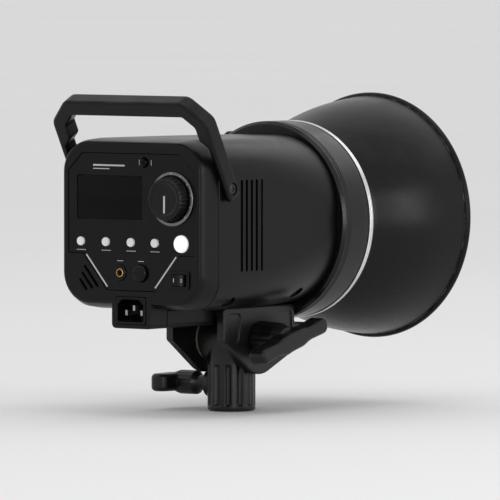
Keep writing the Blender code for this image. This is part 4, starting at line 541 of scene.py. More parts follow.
def make_stand_lock():
    carried(BRASS, "spigot_clamp_shoe")
    neck = BOSS_END + GAP
    hub = [(SHOE_SIDE, 0), (SHOE_SIDE, STUD_RADIUS), (neck, STUD_RADIUS)]
    hub += [(neck, NECK_RADIUS, 0.0003), (NECK_END - 0.002, NECK_RADIUS, 0.001)]
    hub += [(NECK_END, 0.0072, 0.0006), (NECK_END + 0.0015, HUB_RADIUS, 0.0006)]
    hub += [(HUB_END - 0.004, HUB_RADIUS, 0.002), (HUB_END, HUB_RADIUS * 0.86, 0.001)]
    hub.append((HUB_END, 0))
    bm = moved(turned(hub, "X", steps=HUB_RIBS * 12, shaped=ribbed_hub), LOCK_AT)
    name = "stand_lock_knob"
    made = piece("stand_lock_winged_knob", bm, KNOB_BLACK, "cast_black", name, body=name)
    half = [(WING_BACK, WING_ROOT, 0.004), (WING_BACK + 0.0015, WING_SPAN - 0.001, 0.0070)]
    half += [(WING_FRONT - 0.0035, WING_SPAN, 0.0065), (WING_FRONT, 0, 0.04)]
    wing = block(mirrored(half, 1), -WING_HALF, WING_HALF, "Z", 0.0032, 5)
    joined(made, moved(wing, LOCK_AT))
    eased(made)


make_stand_lock()


# Tilt base. A die-cast aluminium fork under the housing: a top plate, two ears round the
# receiver's eye, and a front shelf with the bored tube for an umbrella shaft. Its cast
# corners keep their draft radii, and shallow pockets save weight on the ears.
EAR_INNER = 0.0205
EAR_OUTER = 0.0270
EAR_RADIUS = 0.025
EAR_REAR = 0.043
EAR_FRONT = 0.062
EAR_ROUND = 0.0026
BASE_TOP = 0.0247
BASE_FRONT = 0.0407
BASE_UNDER = 0.0200
FORK_FRONT = -0.0360
SHELF_REAR = -0.0313
SHELF_TOP = 0.0105
SHELF_LOW = 0.0058
BASE_SCREW_YS = {"front": -0.029, "rear": 0.034}
BASE_SCREW_HOLE = 0.0028
POCKET_SKIN = 0.0011
REAR_POCKET = [(0.0385, 0.0040, 0.003), (0.0385, 0.0200, 0.003), (0.0225, 0.0200, 0.003)]
REAR_POCKET += [(0.0262, -0.0030, 0.003)]
FRONT_POCKET = [(-0.0220, 0.0200, 0.003), (-0.0370, 0.0200, 0.003), (-0.0370, 0.0070, 0.003)]
FRONT_POCKET += [(-0.0545, 0.0062, 0.003), (-0.0545, 0.0020, 0.002), (-0.0245, -0.0080, 0.004)]
UMBRELLA_RADIUS = 0.0080
UMBRELLA_BORE = 0.0045
UMBRELLA_SPAN = (-0.060, -0.036)
UMBRELLA_AT = PIVOT + Vector((0.051, 0, 0.0045))
UMBRELLA_SCREW_AT = Vector((0, sum(UMBRELLA_SPAN) / 2, UMBRELLA_AT.z))
UMBRELLA_SCREW_HOLE = 0.0028
WEB_HALF = 0.0056


def oblong(low_a, high_a, low_b, high_b, radius=0.0, steps=4):
    """A rectangle's outline, with round corners if a radius is given."""
    corners = ((low_a, low_b), (high_a, low_b), (high_a, high_b), (low_a, high_b))
    return rounded([(*spot, radius) for spot in corners], steps, closed=True)


def ear_profile():
    """The ear from the side: a round foot with straight flanks up to both corners."""
    first = math.acos(EAR_RADIUS / EAR_FRONT) - math.pi
    last = -math.acos(EAR_RADIUS / EAR_REAR)
    corners = [(EAR_REAR, BASE_TOP, EAR_ROUND), (-BASE_FRONT, BASE_TOP, EAR_ROUND)]
    corners += [(-BASE_FRONT, SHELF_TOP, EAR_ROUND), (-EAR_FRONT, SHELF_TOP, EAR_ROUND)]
    corners.append((-EAR_FRONT, 0, EAR_ROUND))
    for step in range(25):
        turn = first + (last - first) * step / 24
        corners.append((EAR_RADIUS * math.cos(turn), EAR_RADIUS * math.sin(turn)))
    corners.append((EAR_REAR, 0, EAR_ROUND))
    return corners


def on_side(side, near, far):
    """The two ends of a span on the left (1) or the right (-1), lower one first."""
    return sorted((side * near, side * far))


def make_tilt_base():
    bm = moved(block(ear_profile(), -EAR_OUTER, EAR_OUTER, "X", 0.0014), PIVOT)
    made = piece("tilt_base_cast", bm, CAST_BLACK, "cast_black", "tilt_base")
    low = -EAR_RADIUS - PAST
    fork = oblong(FORK_FRONT, EAR_REAR + PAST, low, BASE_UNDER)
    under = oblong(-EAR_FRONT - PAST, SHELF_REAR, low, SHELF_LOW)
    for room in (fork, under):
        cut(made, moved(block(room, -EAR_INNER, EAR_INNER, "X"), PIVOT))
    joined(made, rod(*UMBRELLA_SPAN, UMBRELLA_RADIUS, "Y", UMBRELLA_AT, 48, 0.001))
    web = oblong(0.0238, 0.0505, UMBRELLA_SPAN[0] + 0.002, UMBRELLA_SPAN[1] - 0.002)
    middle = UMBRELLA_AT.z
    joined(made, block(web, middle - WEB_HALF, middle + WEB_HALF, "Z", 0.0016))
    ends = (UMBRELLA_SPAN[0] - PAST, UMBRELLA_SPAN[1] + PAST)
    cut(
        made,
        rod(*ends, UMBRELLA_BORE, "Y", UMBRELLA_AT, 40),
        rod(UMBRELLA_AT.x, 0.063, UMBRELLA_SCREW_HOLE, "X", UMBRELLA_SCREW_AT),
        rod(-EAR_OUTER - PAST, EAR_OUTER + PAST, BOLT_HOLE, "X", PIVOT),
    )
    for y in BASE_SCREW_YS.values():
        at = PIVOT + Vector((0, y, 0))
        cut(made, rod(BASE_UNDER - PAST, BASE_TOP + PAST, BASE_SCREW_HOLE, "Z", at))
    for side in (1, -1):
        deep = on_side(side, EAR_OUTER - POCKET_SKIN, EAR_OUTER + PAST / 2)
        for pocket in (REAR_POCKET, FRONT_POCKET):
            cut(made, moved(block(pocket, *deep, "X"), PIVOT))
    eased(made, 0.0004)


make_tilt_base()


# Screws. Black-oxide machine screws with a cross recess hold the base, the handle and the
# two halves of the shell; each is turned, then punched, and sits square in its hole.
SCREW_BLACK = metal("black oxide steel", (0.055, 0.055, 0.060), 0.30, 0.25, 500, 0.00002)


def pointed(at, outward):
    """The move that takes a shape drawn along Z to its place, pointing outward."""
    turn = Vector((0, 0, 1)).rotation_difference(Vector(outward)).to_matrix().to_4x4()
    return Matrix.Translation(at) @ turn


def cross_screw(name, stands_for, at, outward, radius, head, shank, length):
    """A pan head with a cross recess; at is the middle of the head's top."""
    side = [(0, 0), (0, radius * 0.55), (-head * 0.28, radius * 0.9), (-head * 0.5, radius)]
    side += [(-head, radius), (-head, shank), (-length + 0.0008, shank)]
    side += [(-length, shank * 0.7), (-length, 0)]
    made = piece(name, turned(side, "Z", steps=32), SCREW_BLACK, "steel", stands_for)
    arm = radius * 0.50
    thin = radius * 0.13
    for wide, tall in ((arm, thin), (thin, arm)):
        cut(made, block(oblong(-wide, wide, -tall, tall), -head * 0.62, 0.002, "Z"))
    eased(made, 0.00012)
    made.data.transform(pointed(at, outward))


def make_base_fixings():
    head = 0.0025
    sizes = {"radius": 0.0045, "head": head, "shank": 0.0025, "length": 0.0129}
    for end, y in BASE_SCREW_YS.items():
        name = f"base_screw_{end}"
        at = PIVOT + Vector((0, y, BASE_UNDER - GAP - head))
        cross_screw(name + "_pan_head", name, at, (0, 0, -1), **sizes)
    carried(SCREW_BLACK, "tilt_pivot_bolt", width=0.0003)


make_base_fixings()


# Tilt lock. Fibre washers give an even drag at the pivot, and a lever on the bolt's threaded
# end squeezes the fork onto the eye. The lever is nylon, moulded over a steel insert.
LEVER_FACE = -EAR_OUTER - GAP
LEVER_THREAD_END = -0.0386
LEVER_HUB_RADIUS = 0.014
LEVER_HUB_END = -0.0450
LEVER_BACK = -0.0600
LEVER_HALF = 0.040
LEVER_TALL = 0.007
LEVER_REST = math.radians(-16)
LEVER_LOBES = 16
FIBRE = coated("fibre washer", (0.20, 0.17, 0.13), (0.3, 0.27, 0.2), 0.75, 900, 0.0001, wear=0.2)


def lobed_hub(reach, radius, turn):
    if radius < LEVER_HUB_RADIUS * 0.9:
        return radius
    return radius - 0.0006 * (0.5 + 0.5 * math.cos(turn * LEVER_LOBES)) ** 3


def make_tilt_lock():
    carried(FIBRE, "friction_washer_left", "friction_washer_right")
    nose = LEVER_BACK + 0.0075
    hub = [(LEVER_THREAD_END, 0), (LEVER_THREAD_END, BOLT_HOLE), (LEVER_FACE, BOLT_HOLE)]
    hub += [(LEVER_FACE, LEVER_HUB_RADIUS - 0.0005, 0.0005)]
    hub += [(LEVER_FACE - 0.0012, LEVER_HUB_RADIUS, 0.0006)]
    hub += [(LEVER_HUB_END, LEVER_HUB_RADIUS * 0.93, 0.003), (nose, 0.0095, 0.002), (nose, 0)]
    bm = moved(turned(hub, "X", steps=LEVER_LOBES * 7, shaped=lobed_hub), PIVOT, LEVER_REST)
    name = "tilt_lock_handle"
    made = piece("tilt_lock_lever", bm, KNOB_BLACK, "cast_black", name, body=name)
    quarter = [(LEVER_HALF, LEVER_TALL - 0.001, 0.0050)]
    quarter += [(LEVER_HALF * 0.45, LEVER_TALL * 0.74, 0.03), (0.0095, LEVER_TALL, 0.012)]
    outline = mirrored(mirrored(quarter), 1)
    bar = block(outline, LEVER_BACK, LEVER_HUB_END, "X", 0.0034, 5)
    joined(made, moved(bar, PIVOT, LEVER_REST))
    eased(made)


make_tilt_lock()


# Umbrella screw. A small knurled thumbscrew of nylon on a steel stud, through the side of
# the umbrella tube, so that the shaft is pinched without a tool.
THUMB_RADIUS = 0.0075
THUMB_START = 0.0593
THUMB_END = 0.0683
THUMB_STUD_START = 0.0558
THUMB_STUD_RADIUS = 0.0025


def knurled(reach, radius, turn):
    if radius < THUMB_RADIUS - GAP:
        return radius
    return radius - 0.0004 * (0.5 + 0.5 * math.cos(turn * 24))


def make_umbrella_screw():
    dish = THUMB_END - 0.0008
    side = [(THUMB_STUD_START, 0), (THUMB_STUD_START, THUMB_STUD_RADIUS)]
    side += [(THUMB_START, THUMB_STUD_RADIUS), (THUMB_START, THUMB_RADIUS - 0.0015, 0.0004)]
    side.append((THUMB_START + 0.001, THUMB_RADIUS, 0.0003))
    side.append((THUMB_END - 0.0012, THUMB_RADIUS, 0.0005))
    side += [(THUMB_END, 0.0064, 0.0003), (THUMB_END, 0.0045), (dish, 0.0040), (dish, 0)]
    bm = turned(side, "X", steps=144, shaped=knurled, fine=3)
    name = "umbrella_lock_screw"
    bm = moved(bm, UMBRELLA_SCREW_AT)
    made = piece("umbrella_thumbscrew", bm, KNOB_BLACK, "smooth_black", name, body=name)
    eased(made, 0.00015)


make_umbrella_screw()


# Housing. The front half of the shell is one injection moulding in glass-filled ABS: a
# rounded-square sleeve, rounder toward its nose, with five cooling slots in each side. Four
# bosses under its lower corners take the long screws, and its rear rim meets the cover.
OPTICAL_AXIS = 0.137
SHELL_HALF = 0.065
SHELL_TOP = 0.063
SHELL_LOW = 0.060
SHELL_REAR = 0.097
SHELL_NOSE = -0.041
SHELL_WALL = 0.0026
SHELL_CHAMFER = 0.0007
SHELL_RINGS = 15
RING_PITCH = 0.0095
REAR_CORNER = 0.024
CORNER_GROWTH = 0.028
SLOT_PITCH = 0.0058
SLOTS = [0.046 + SLOT_PITCH * row for row in range(5)]
SLOT_WIDE = 0.0026
SLOT_TALL = (-0.032, 0.034)
SIDE_SCREW_YS = {"rear": 0.074, "front": -0.014}
SIDE_SCREW_TURN = math.radians(52)
SIDE_BOSS_RADIUS = 0.0078
POCKET_RADIUS = 0.0058
POCKET_DEPTH = 0.0048
SHELL_SCREW_HOLE = 0.0023
HANDLE_FOOT = Vector((0, 0.088, 0.028))
SHELL_BLACK = coated(
    "grained black moulding", (0.0038, 0.0038, 0.0041), (0.035, 0.035, 0.036), 0.32, 1500, 0.00005,
    wear=0.35, dust=0.12, pebbles=0.6, Specular_IOR_Level=0.17,
)


def shell_ring(y, half, top, low, radius):
    """A rounded rectangle round the optical axis."""
    ring = oblong(-half, half, -low, top, radius, 12)
    return [Vector((x, y, OPTICAL_AXIS + z)) for x, z in ring]


def corner_at(y):
    share = (SHELL_REAR - y) / (SHELL_REAR - SHELL_NOSE)
    return REAR_CORNER + CORNER_GROWTH * share * share


def sleeve_ring(y, inset):
    sizes = (SHELL_HALF - inset, SHELL_TOP - inset, SHELL_LOW - inset)
    return shell_ring(y, *sizes, corner_at(y) - inset)


def on_axis(bm):
    return moved(bm, (0, 0, OPTICAL_AXIS))


def together(parts):
    """Separate shapes, drawn round the optical axis, as one cutter or one piece."""
    whole = bmesh.new()
    for part in parts:
        mesh = bpy.data.meshes.new("part")
        part.to_mesh(mesh)
        part.free()
        whole.from_mesh(mesh)
        bpy.data.meshes.remove(mesh)
    return on_axis(whole)


def side_screw_place(side, y):
    """The middle of a lower corner's skin, and the way out of it, from the optical axis."""
    radius = corner_at(y)
    outward = Vector((side * math.cos(SIDE_SCREW_TURN), 0, -math.sin(SIDE_SCREW_TURN)))
    corner = Vector((side * (SHELL_HALF - radius), y, radius - SHELL_LOW))
    return corner + outward * radius, outward


SIDE_SCREWS = {
    f"side_screw_{end}_{hand}": side_screw_place(side, y)
    for end, y in SIDE_SCREW_YS.items()
    for hand, side in (("left", 1), ("right", -1))
}


def at_side_screws(low, high, radius):
    spots = SIDE_SCREWS.values()
    return together(placed(rod(low, high, radius, "Z"), pointed(*spot)) for spot in spots)


def make_housing():
    ys = [SHELL_REAR - SHELL_CHAMFER - RING_PITCH * step for step in range(SHELL_RINGS)]
    rings = [sleeve_ring(SHELL_REAR, SHELL_CHAMFER), *[sleeve_ring(y, 0) for y in ys]]
    rings.append(sleeve_ring(SHELL_NOSE + SHELL_CHAMFER, 0.0002))
    rings.append(sleeve_ring(SHELL_NOSE, 0.0010))
    rings += [sleeve_ring(y, SHELL_WALL) for y in (SHELL_NOSE, *reversed(ys[1:]), SHELL_REAR)]
    bm = skin(bmesh.new(), rings, closed=True)
    made = piece("main_housing_shell", bm, SHELL_BLACK, "moulded_black", "main_housing")
    joined(made, at_side_screws(-POCKET_DEPTH - 0.010, -0.0017, SIDE_BOSS_RADIUS))
    cut(made, at_side_screws(-POCKET_DEPTH, PAST, POCKET_RADIUS))
    cut(made, at_side_screws(-POCKET_DEPTH - 0.012, -0.002, SHELL_SCREW_HOLE))
    wide = SHELL_HALF + PAST
    slots = [oblong(start, start + SLOT_WIDE, *SLOT_TALL, 0.00125, 6) for start in SLOTS]
    cut(made, together(block(slot, -wide, wide, "X") for slot in slots))
    cut(made, on_axis(rod(-wide, wide, SHELL_SCREW_HOLE, "X", HANDLE_FOOT)))
    spots = [(0, y, -SHELL_LOW) for y in BASE_SCREW_YS.values()]
    cut(made, together(rod(-PAST, PAST + 0.001, BASE_SCREW_HOLE, "Z", spot) for spot in spots))
    eased(made)


def make_side_screws():
    head = 0.0025
    sizes = {"radius": 0.0052, "head": head, "shank": 0.002, "length": 0.0125}
    for name, (at, outward) in SIDE_SCREWS.items():
        top = at - outward * (POCKET_DEPTH - GAP - head) + Vector((0, 0, OPTICAL_AXIS))
        cross_screw(name + "_pan_head", name, top, outward, **sizes)


def make_slot_shade_sheets():
    """Painted shade: thin near-black sheets behind the slots, kept off the tray, so that the slots
    look dark.
    """
    area = oblong(0.0415, 0.0790, -0.0370, 0.0390, 0.002)
    shade_pads = [block(area, *on_side(side, 0.0598, 0.0612), "X", GAP) for side in (1, -1)]
    # A near-black sheet whose colour is painted shade, darkening the view through the slots.
    shade_sheet = coated("painted shade sheet", grey(0.006), grey(0.01), 0.9, 800, 0.0004, wear=0)
    piece("slot_shade_sheets", together(shade_pads), shade_sheet, "moulded_black")


make_housing()
make_side_screws()
make_slot_shade_sheets()


# Works inside the shell. A folded steel tray holds two storage capacitors in their sleeves;
# the power board stands behind them with its transformer, and a small fan blows across.
TRAY_STEEL = metal("zinc-coated sheet", (0.50, 0.51, 0.52), 0.30, 0.25, 260, 0.00003)
CORE_STEEL = metal("laminated core", (0.16, 0.15, 0.14), 0.40, 0.2, 900, 0.0001, (1, 1, 12))
FAN_BLACK = coated("black fan plastic", (0.016, 0.016, 0.017), grey(0.05), 0.45, 1100, 0.00005)
SLEEVE = coated(
    "shrink sleeve", (0.012, 0.022, 0.060), (0.05, 0.07, 0.14), 0.30, 160, 0.00012, wear=0.2
)


def circuit_board():
    """Green resist with its copper tracks showing faintly through."""
    copper = (0.35, 0.30, 0.16)
    material = coated("circuit board", (0.010, 0.055, 0.022), copper, 0.35, 700, 0.00005)
    tree = material.node_tree
    inputs = (("Vector", object_spot(tree)), ("Scale", 180.0), ("Mortar Size", 0.06))
    inputs += (("Color1", shade(grey(0))), ("Color2", shade(grey(0))), ("Mortar", shade(grey(1))))
    tracks = node(tree, "TexBrick", inputs).outputs["Color"]
    base = tree.nodes["Principled BSDF"].inputs["Base Color"]
    resist = base.links[0].from_socket
    feed(tree, base, colour_mix(tree, tracks, resist, (0.05, 0.20, 0.07, 1)))
    return material


BOARD = circuit_board()
carried(TRAY_STEEL, "chassis_tray")
carried(SLEEVE, "flash_capacitor_left", "flash_capacitor_right")
carried(BOARD, "power_board")
carried(CORE_STEEL, "transformer")
carried(FAN_BLACK, "fan_frame", "fan_rotor")


# Rear cover. The cap that closes the shell is moulded in the same grained ABS. It carries
# the panel's opening, three slanted vents, the switch's hole and the tongue with the inlet.
COVER_FRONT = SHELL_REAR + GAP
COVER_REAR = 0.117
COVER_WALL = 0.0028
COVER_ROUND = 0.0024
COVER_TAPER = 0.0025
COVER_RISE = 0.0055
PANEL_HALF = 0.058
PANEL_TOP = 0.053
PANEL_CORNER = 0.013
PANEL_ROUND = 0.0018
PANEL_SHOULDER = Vector((0.044, -0.020))
PANEL_FOOT = Vector((0.022, -0.046))
PANEL_SEAT = 0.108
VENTS = 3
VENT_PITCH = 0.0048
VENT_REACH = 0.010
VENT_SHORTER = 0.0024
VENT_HALF = 0.0011
TONGUE_HALF = 0.018
TONGUE_TOP = -0.048
TONGUE_LOW = -0.073
TONGUE_ROUND = 0.0035
INLET_HEIGHT = -0.060
INLET_HALF = (0.0135, 0.0097)
SWITCH_AT = Vector((-0.045, COVER_REAR + GAP, -0.037))
SWITCH_HALF = (0.0078, 0.0053)


def cover_ring(y, inset, back):
    """A section of the cover; back runs from 0 at the shell to 1 at its face."""
    half = SHELL_HALF - COVER_TAPER * back - inset
    top = SHELL_TOP - COVER_TAPER * back - inset
    low = SHELL_LOW - COVER_RISE * back - inset
    return shell_ring(y, half, top, low, REAR_CORNER - 0.002 * back - inset)


def panel_corners(inset):
    """The panel's outline: a wide face that narrows to a foot above the inlet."""
    half = [(PANEL_HALF - PANEL_CORNER, PANEL_TOP - inset)]
    half += [(PANEL_HALF - inset, PANEL_TOP - PANEL_CORNER)]
    half += [(PANEL_HALF - inset, PANEL_SHOULDER.y + inset)]
    half += [(PANEL_SHOULDER.x - inset / 2, PANEL_SHOULDER.y + inset)]
    half += [(PANEL_FOOT.x - inset / 2, PANEL_FOOT.y + inset)]
    return mirrored([(*spot, PANEL_ROUND) for spot in half])


def square_hole(half, front, rear, at):
    """A hole for a body of a half width and half height, with a gap all round."""
    across, tall = (size + GAP for size in half)
    x, z = at
    return block(oblong(x - across, x + across, z - tall, z + tall), front, rear, "Y")


def corner_vents():
    """Slanted slots beside the panel's edge, each shorter than the last."""
    along = (PANEL_FOOT - PANEL_SHOULDER).normalized()
    away = Vector((-along.y, along.x))
    vents = []
    for row in range(VENTS):
        centre = (PANEL_SHOULDER + PANEL_FOOT) / 2 + away * VENT_PITCH * (row + 1)
        reach = VENT_REACH - VENT_SHORTER * row
        slot = oblong(-reach, reach, -VENT_HALF, VENT_HALF, 0.00105, 6)
        outline = [centre + along * a + away * b for a, b in slot]
        vents.append(block(outline, COVER_REAR - 0.005, COVER_REAR + PAST / 2, "Y"))
    return vents


def make_rear_cover():
    bend = COVER_REAR - COVER_ROUND
    rings = [cover_ring(COVER_FRONT, SHELL_CHAMFER, 0)]
    rings.append(cover_ring(COVER_FRONT + SHELL_CHAMFER, 0, 0))
    rings += [cover_ring(0.111, 0, 0.35), cover_ring(bend, 0, 0.72)]
    for step in range(1, 6):
        turn = math.pi / 2 * step / 5
        inset = COVER_ROUND * (1 - math.cos(turn))
        rings.append(cover_ring(bend + COVER_ROUND * math.sin(turn), inset, 0.72 + 0.028 * step))
    bm = skin(bmesh.new(), rings)
    made = piece("rear_cover_cap", bm, SHELL_BLACK, "moulded_black", "rear_cover")
    hollow = [cover_ring(COVER_FRONT - 0.001, COVER_WALL, 0)]
    hollow.append(cover_ring(COVER_REAR - COVER_WALL, COVER_WALL, 0.85))
    cut(made, skin(bmesh.new(), hollow))
    half = [(-TONGUE_HALF, TONGUE_TOP, 0.001), (-TONGUE_HALF, TONGUE_LOW, TONGUE_ROUND)]
    tongue = block(mirrored(half), COVER_FRONT, COVER_REAR - 0.0002, "Y", 0.0009)
    joined(made, on_axis(tongue))
    past = COVER_REAR + PAST / 2
    cut(made, on_axis(block(panel_corners(0), PANEL_SEAT, past, "Y", fine=4)))
    holes = corner_vents()
    holes.append(square_hole(SWITCH_HALF, 0.110, past, (SWITCH_AT.x, SWITCH_AT.z)))
    holes.append(square_hole(INLET_HALF, 0.096, past, (0, INLET_HEIGHT)))
    cut(made, together(holes))
    eased(made)


make_rear_cover()


# Control panel. A 2.5 mm plate of smooth ABS, moulded with its holes and pad-printed in pale grey;
# the printing is a few hundredths of a millimetre thick, and the pale lines along its slanted foot
# are a painted highlight. It clips in the cover.
PANEL_REAR = 0.1165
PANEL_FRONT = 0.1140
WINDOW = (-0.010, 0.050, 0.005, 0.037)
DIAL_AT = Vector((-0.038, 0, 0.021))
SHAFT_HOLE = 0.003
BUTTON_XS = (0.046, 0.023, 0.0, -0.022)
BUTTON_RADIUS = 0.0032
BUTTON_Z = -0.011
BUTTON_FIELD = (-0.0535, 0.0535, -0.0195, -0.0025)
TEST_AT = Vector((-0.046, 0, BUTTON_Z))
TEST_RADIUS = 0.0062
SOCKET_Z = -0.033
SYNC_AT = Vector((0.010, 0, SOCKET_Z))
SYNC_RADIUS = 0.0055
FUSE_AT = Vector((-0.009, 0, SOCKET_Z))
FUSE_RADIUS = 0.0062
SENSOR_AT = Vector((-0.012, 0, 0.0465))
SENSOR_RADIUS = 0.0035
GROOVE_WIDE = 0.0006
GROOVE_DEPTH = 0.0003
PRINT_THICK = 0.00004
PANEL_BLACK = coated(
    "smooth black moulding", (0.0025, 0.0025, 0.0028), grey(0.03), 0.24, 2200, 0.00001,
    wear=0.25, dust=0.2, Specular_IOR_Level=0.18,
)
# Pale print; the same grey also paints the highlight lines along the panel's foot.
PRINT_AND_PAINTED_HIGHLIGHT = coated(
    "pad printing and painted highlight", (0.46, 0.47, 0.48), grey(0.05), 0.5, 2600, 0.00001, wear=0.15, dust=0.2
)


def inset_by(field, inset):
    """A field (low x, high x, low z, high z) made smaller on every side."""
    return [edge + inset * way for edge, way in zip(field, (1, -1, 1, -1))]


def hoop(field, radius, width, low, high):
    """A flat rectangular ring, with its outside on the field's edge."""
    rings = []
    for inset, y in ((0, low), (0, high), (width, high), (width, low)):
        outline = oblong(*inset_by(field, inset), radius - inset)
        rings.append([(x, y, z) for x, z in outline])
    return skin(bmesh.new(), rings, closed=True)


def make_control_panel():
    plate = block(panel_corners(GAP), PANEL_FRONT, PANEL_REAR, "Y", 0.0005, fine=4)
    name = "control_panel"
    made = piece(name + "_plate", on_axis(plate), PANEL_BLACK, "smooth_black", name)
    bores = [(Vector((x, 0, BUTTON_Z)), BUTTON_RADIUS) for x in BUTTON_XS]
    bores += [(TEST_AT, TEST_RADIUS), (DIAL_AT, SHAFT_HOLE), (SYNC_AT, SYNC_RADIUS)]
    bores += [(FUSE_AT, FUSE_RADIUS), (SENSOR_AT, SENSOR_RADIUS)]
    ends = (PANEL_FRONT - PAST / 2, PANEL_REAR + PAST / 2)
    holes = [rod(*ends, radius + GAP, "Y", at, 40) for at, radius in bores]
    holes.append(block(oblong(*WINDOW, 0.0012), *ends, "Y"))
    cut(made, together(holes))
    for field, radius in ((BUTTON_FIELD, 0.004), (inset_by(WINDOW, -0.0025), 0.0025)):
        groove = hoop(field, radius, GROOVE_WIDE, PANEL_REAR - GROOVE_DEPTH, PANEL_REAR + 0.001)
        cut(made, on_axis(groove))
    eased(made, 0.0002)


def painted_highlight_lines():
    """Painted highlight: pale lines just inside the panel's two slanted edges, standing in for the
    light their chamfers catch.
    """
    outward = (PANEL_FOOT - PANEL_SHOULDER).orthogonal().normalized()
    line = []
    for share, inset in ((0.06, 0.0012), (0.94, 0.0012), (0.94, 0.0024), (0.06, 0.0024)):
        line.append(PANEL_SHOULDER.lerp(PANEL_FOOT, share) - outward * inset)
    return [[(spot.x * side, spot.y) for spot in line] for side in (1, -1)]


def make_print_and_painted_highlights():
    """Lines under the buttons, over the display and by the small parts, and a painted highlight
    along the foot's slanted edges.
    """
    fields = [(x - 0.0042, x + 0.0042, -0.0174, -0.0170) for x in BUTTON_XS]
    fields += [(at.x - 0.0028, at.x + 0.0028, -0.0246, -0.0242) for at in (SYNC_AT, FUSE_AT)]
    fields += [(0.006, 0.035, 0.0434, 0.0446), (0.020, 0.035, 0.0412, 0.0418)]
    fields += [(x - 0.0002, x + 0.0002, 0.0445, 0.0485) for x in (-0.0185, -0.0075)]
    low = PANEL_REAR + 0.00001
    # The foot's two lines are a painted highlight, not print.
    outlines = [oblong(*field) for field in fields] + painted_highlight_lines()
    marks = together(block(outline, low, low + PRINT_THICK, "Y") for outline in outlines)
    piece("panel_print_and_painted_highlights", marks, PRINT_AND_PAINTED_HIGHLIGHT, "grey_caps")


make_control_panel()
make_print_and_painted_highlights()


# Display. A tinted acrylic window, polished and slightly rounded at its rim, glued over a
# liquid-crystal module whose resting segments only just show.
WINDOW_THICK = 0.0018
WINDOW_SUNK = 0.0004
SEGMENT_FACE = 0.11376
SEGMENT_THICK = 0.00005
DIGIT_XS = (0.038, 0.022, 0.006)
DIGIT_Z = 0.0225
DIGIT_TALL = 0.018
DIGIT_WIDE = 0.0095
SEGMENT_BAR = 0.0018
POINT_XS = (0.030, 0.014)
POINT_LOW = 0.0127
SEGMENT_GREY = coated(
    "resting segments", (0.060, 0.064, 0.056), grey(0.06), 0.4, 900, 0.00001, wear=0, dust=0
)
LCD_BLACK = coated(
    "display cell", (0.008, 0.009, 0.008), grey(0.02), 0.25, 500, 0.00001, wear=0, dust=0
)


def glass(name, colour, rough, index=1.46):
    """Clear or tinted glass with faint wipe marks in its polish."""
    material, tree, shader = new_material(name, Metallic=0.0, Transmission_Weight=1.0, IOR=index)
    wiped = place(tree, GRAIN, Scale=240.0, Pebbles=0.0)
    dusty = place(tree, DUST, Amount=0.10)["Mask"]
    tint = colour_mix(tree, dusty, shade(colour), shade(grey(0.4)))
    feed(tree, shader.inputs["Base Color"], tint)
    polish = stretched(tree, wiped["Speckle"], 0.0, 1.0, rough, rough + 0.06)
    feed(tree, shader.inputs["Roughness"], polish)
    bumped(tree, shader, wiped["Height"], 0.000004)
    return material


DARK_GLASS = glass("smoked acrylic", (0.012, 0.013, 0.015), 0.03, 1.22)


def digit_fields(x):
    """The seven strokes of one figure, as thin bars with a little room at their ends."""
    half = DIGIT_TALL / 2
    strokes = [(x, level, DIGIT_WIDE - SEGMENT_BAR, SEGMENT_BAR) for level in (-1, 0, 1)]
    for side in (-1, 1):
        for level in (-0.5, 0.5):
            strokes.append((x + side * DIGIT_WIDE / 2, level, SEGMENT_BAR, half - SEGMENT_BAR))
    fields = []
    for middle, level, wide, tall in strokes:
        z = DIGIT_Z + level * half
        field = (middle - wide / 2, middle + wide / 2, z - tall / 2, z + tall / 2)
        fields.append(inset_by(field, SEGMENT_BAR * 0.15))
    return fields


def make_display():
    pane = oblong(*inset_by(WINDOW, GAP), 0.0010)
    front = PANEL_REAR - WINDOW_SUNK
    window = block(pane, front - WINDOW_THICK, front, "Y", 0.0004)
    piece("lcd_window_pane", on_axis(window), DARK_GLASS, "dark_glass", "lcd_window")
    carried(LCD_BLACK, "lcd_module")
    half = SEGMENT_BAR / 2
    fields = [field for x in DIGIT_XS for field in digit_fields(x)]
    fields += [(x - half, x + half, POINT_LOW, POINT_LOW + SEGMENT_BAR) for x in POINT_XS]
    ends = (SEGMENT_FACE - SEGMENT_THICK, SEGMENT_FACE)
    segments = together(block(oblong(*field), *ends, "Y") for field in fields)
    piece("lcd_segments", segments, SEGMENT_GREY, "board")


make_display()


# Dial. A fluted knob of rubber-coated nylon on the encoder's steel shaft; it turns without
# stops and presses in. A fixed grey trim ring with printed index marks stands round it.
DIAL_RADIUS = 0.016
DIAL_LOW = 0.1174
DIAL_TOP = DIAL_LOW + 0.0095
DIAL_BORE = 0.0033
DIAL_FLUTES = 30
TRIM_INNER = 0.0166
TRIM_OUTER = 0.0195
TRIM_THICK = 0.0016
INDEX_MARKS = 11
INDEX_RADIUS = 0.0182
INDEX_FIRST = math.radians(-135)
INDEX_PITCH = math.radians(27)
RUBBER = coated(
    "rubber-coated knob", (0.0030, 0.0030, 0.0033), grey(0.03), 0.32, 1900, 0.00002,
    wear=0.3, Specular_IOR_Level=0.22,
)
TRIM_GREY = metal("anodised trim", (0.20, 0.205, 0.21), 0.26, 0.2, 900, 0.00001)


def fluted(reach, radius, turn):
    """Shallow scallops round the dial's side, left off on its face."""
    if radius < DIAL_RADIUS * 0.92:
        return radius
    return radius - 0.00045 * (0.5 + 0.5 * math.cos(turn * DIAL_FLUTES)) ** 2


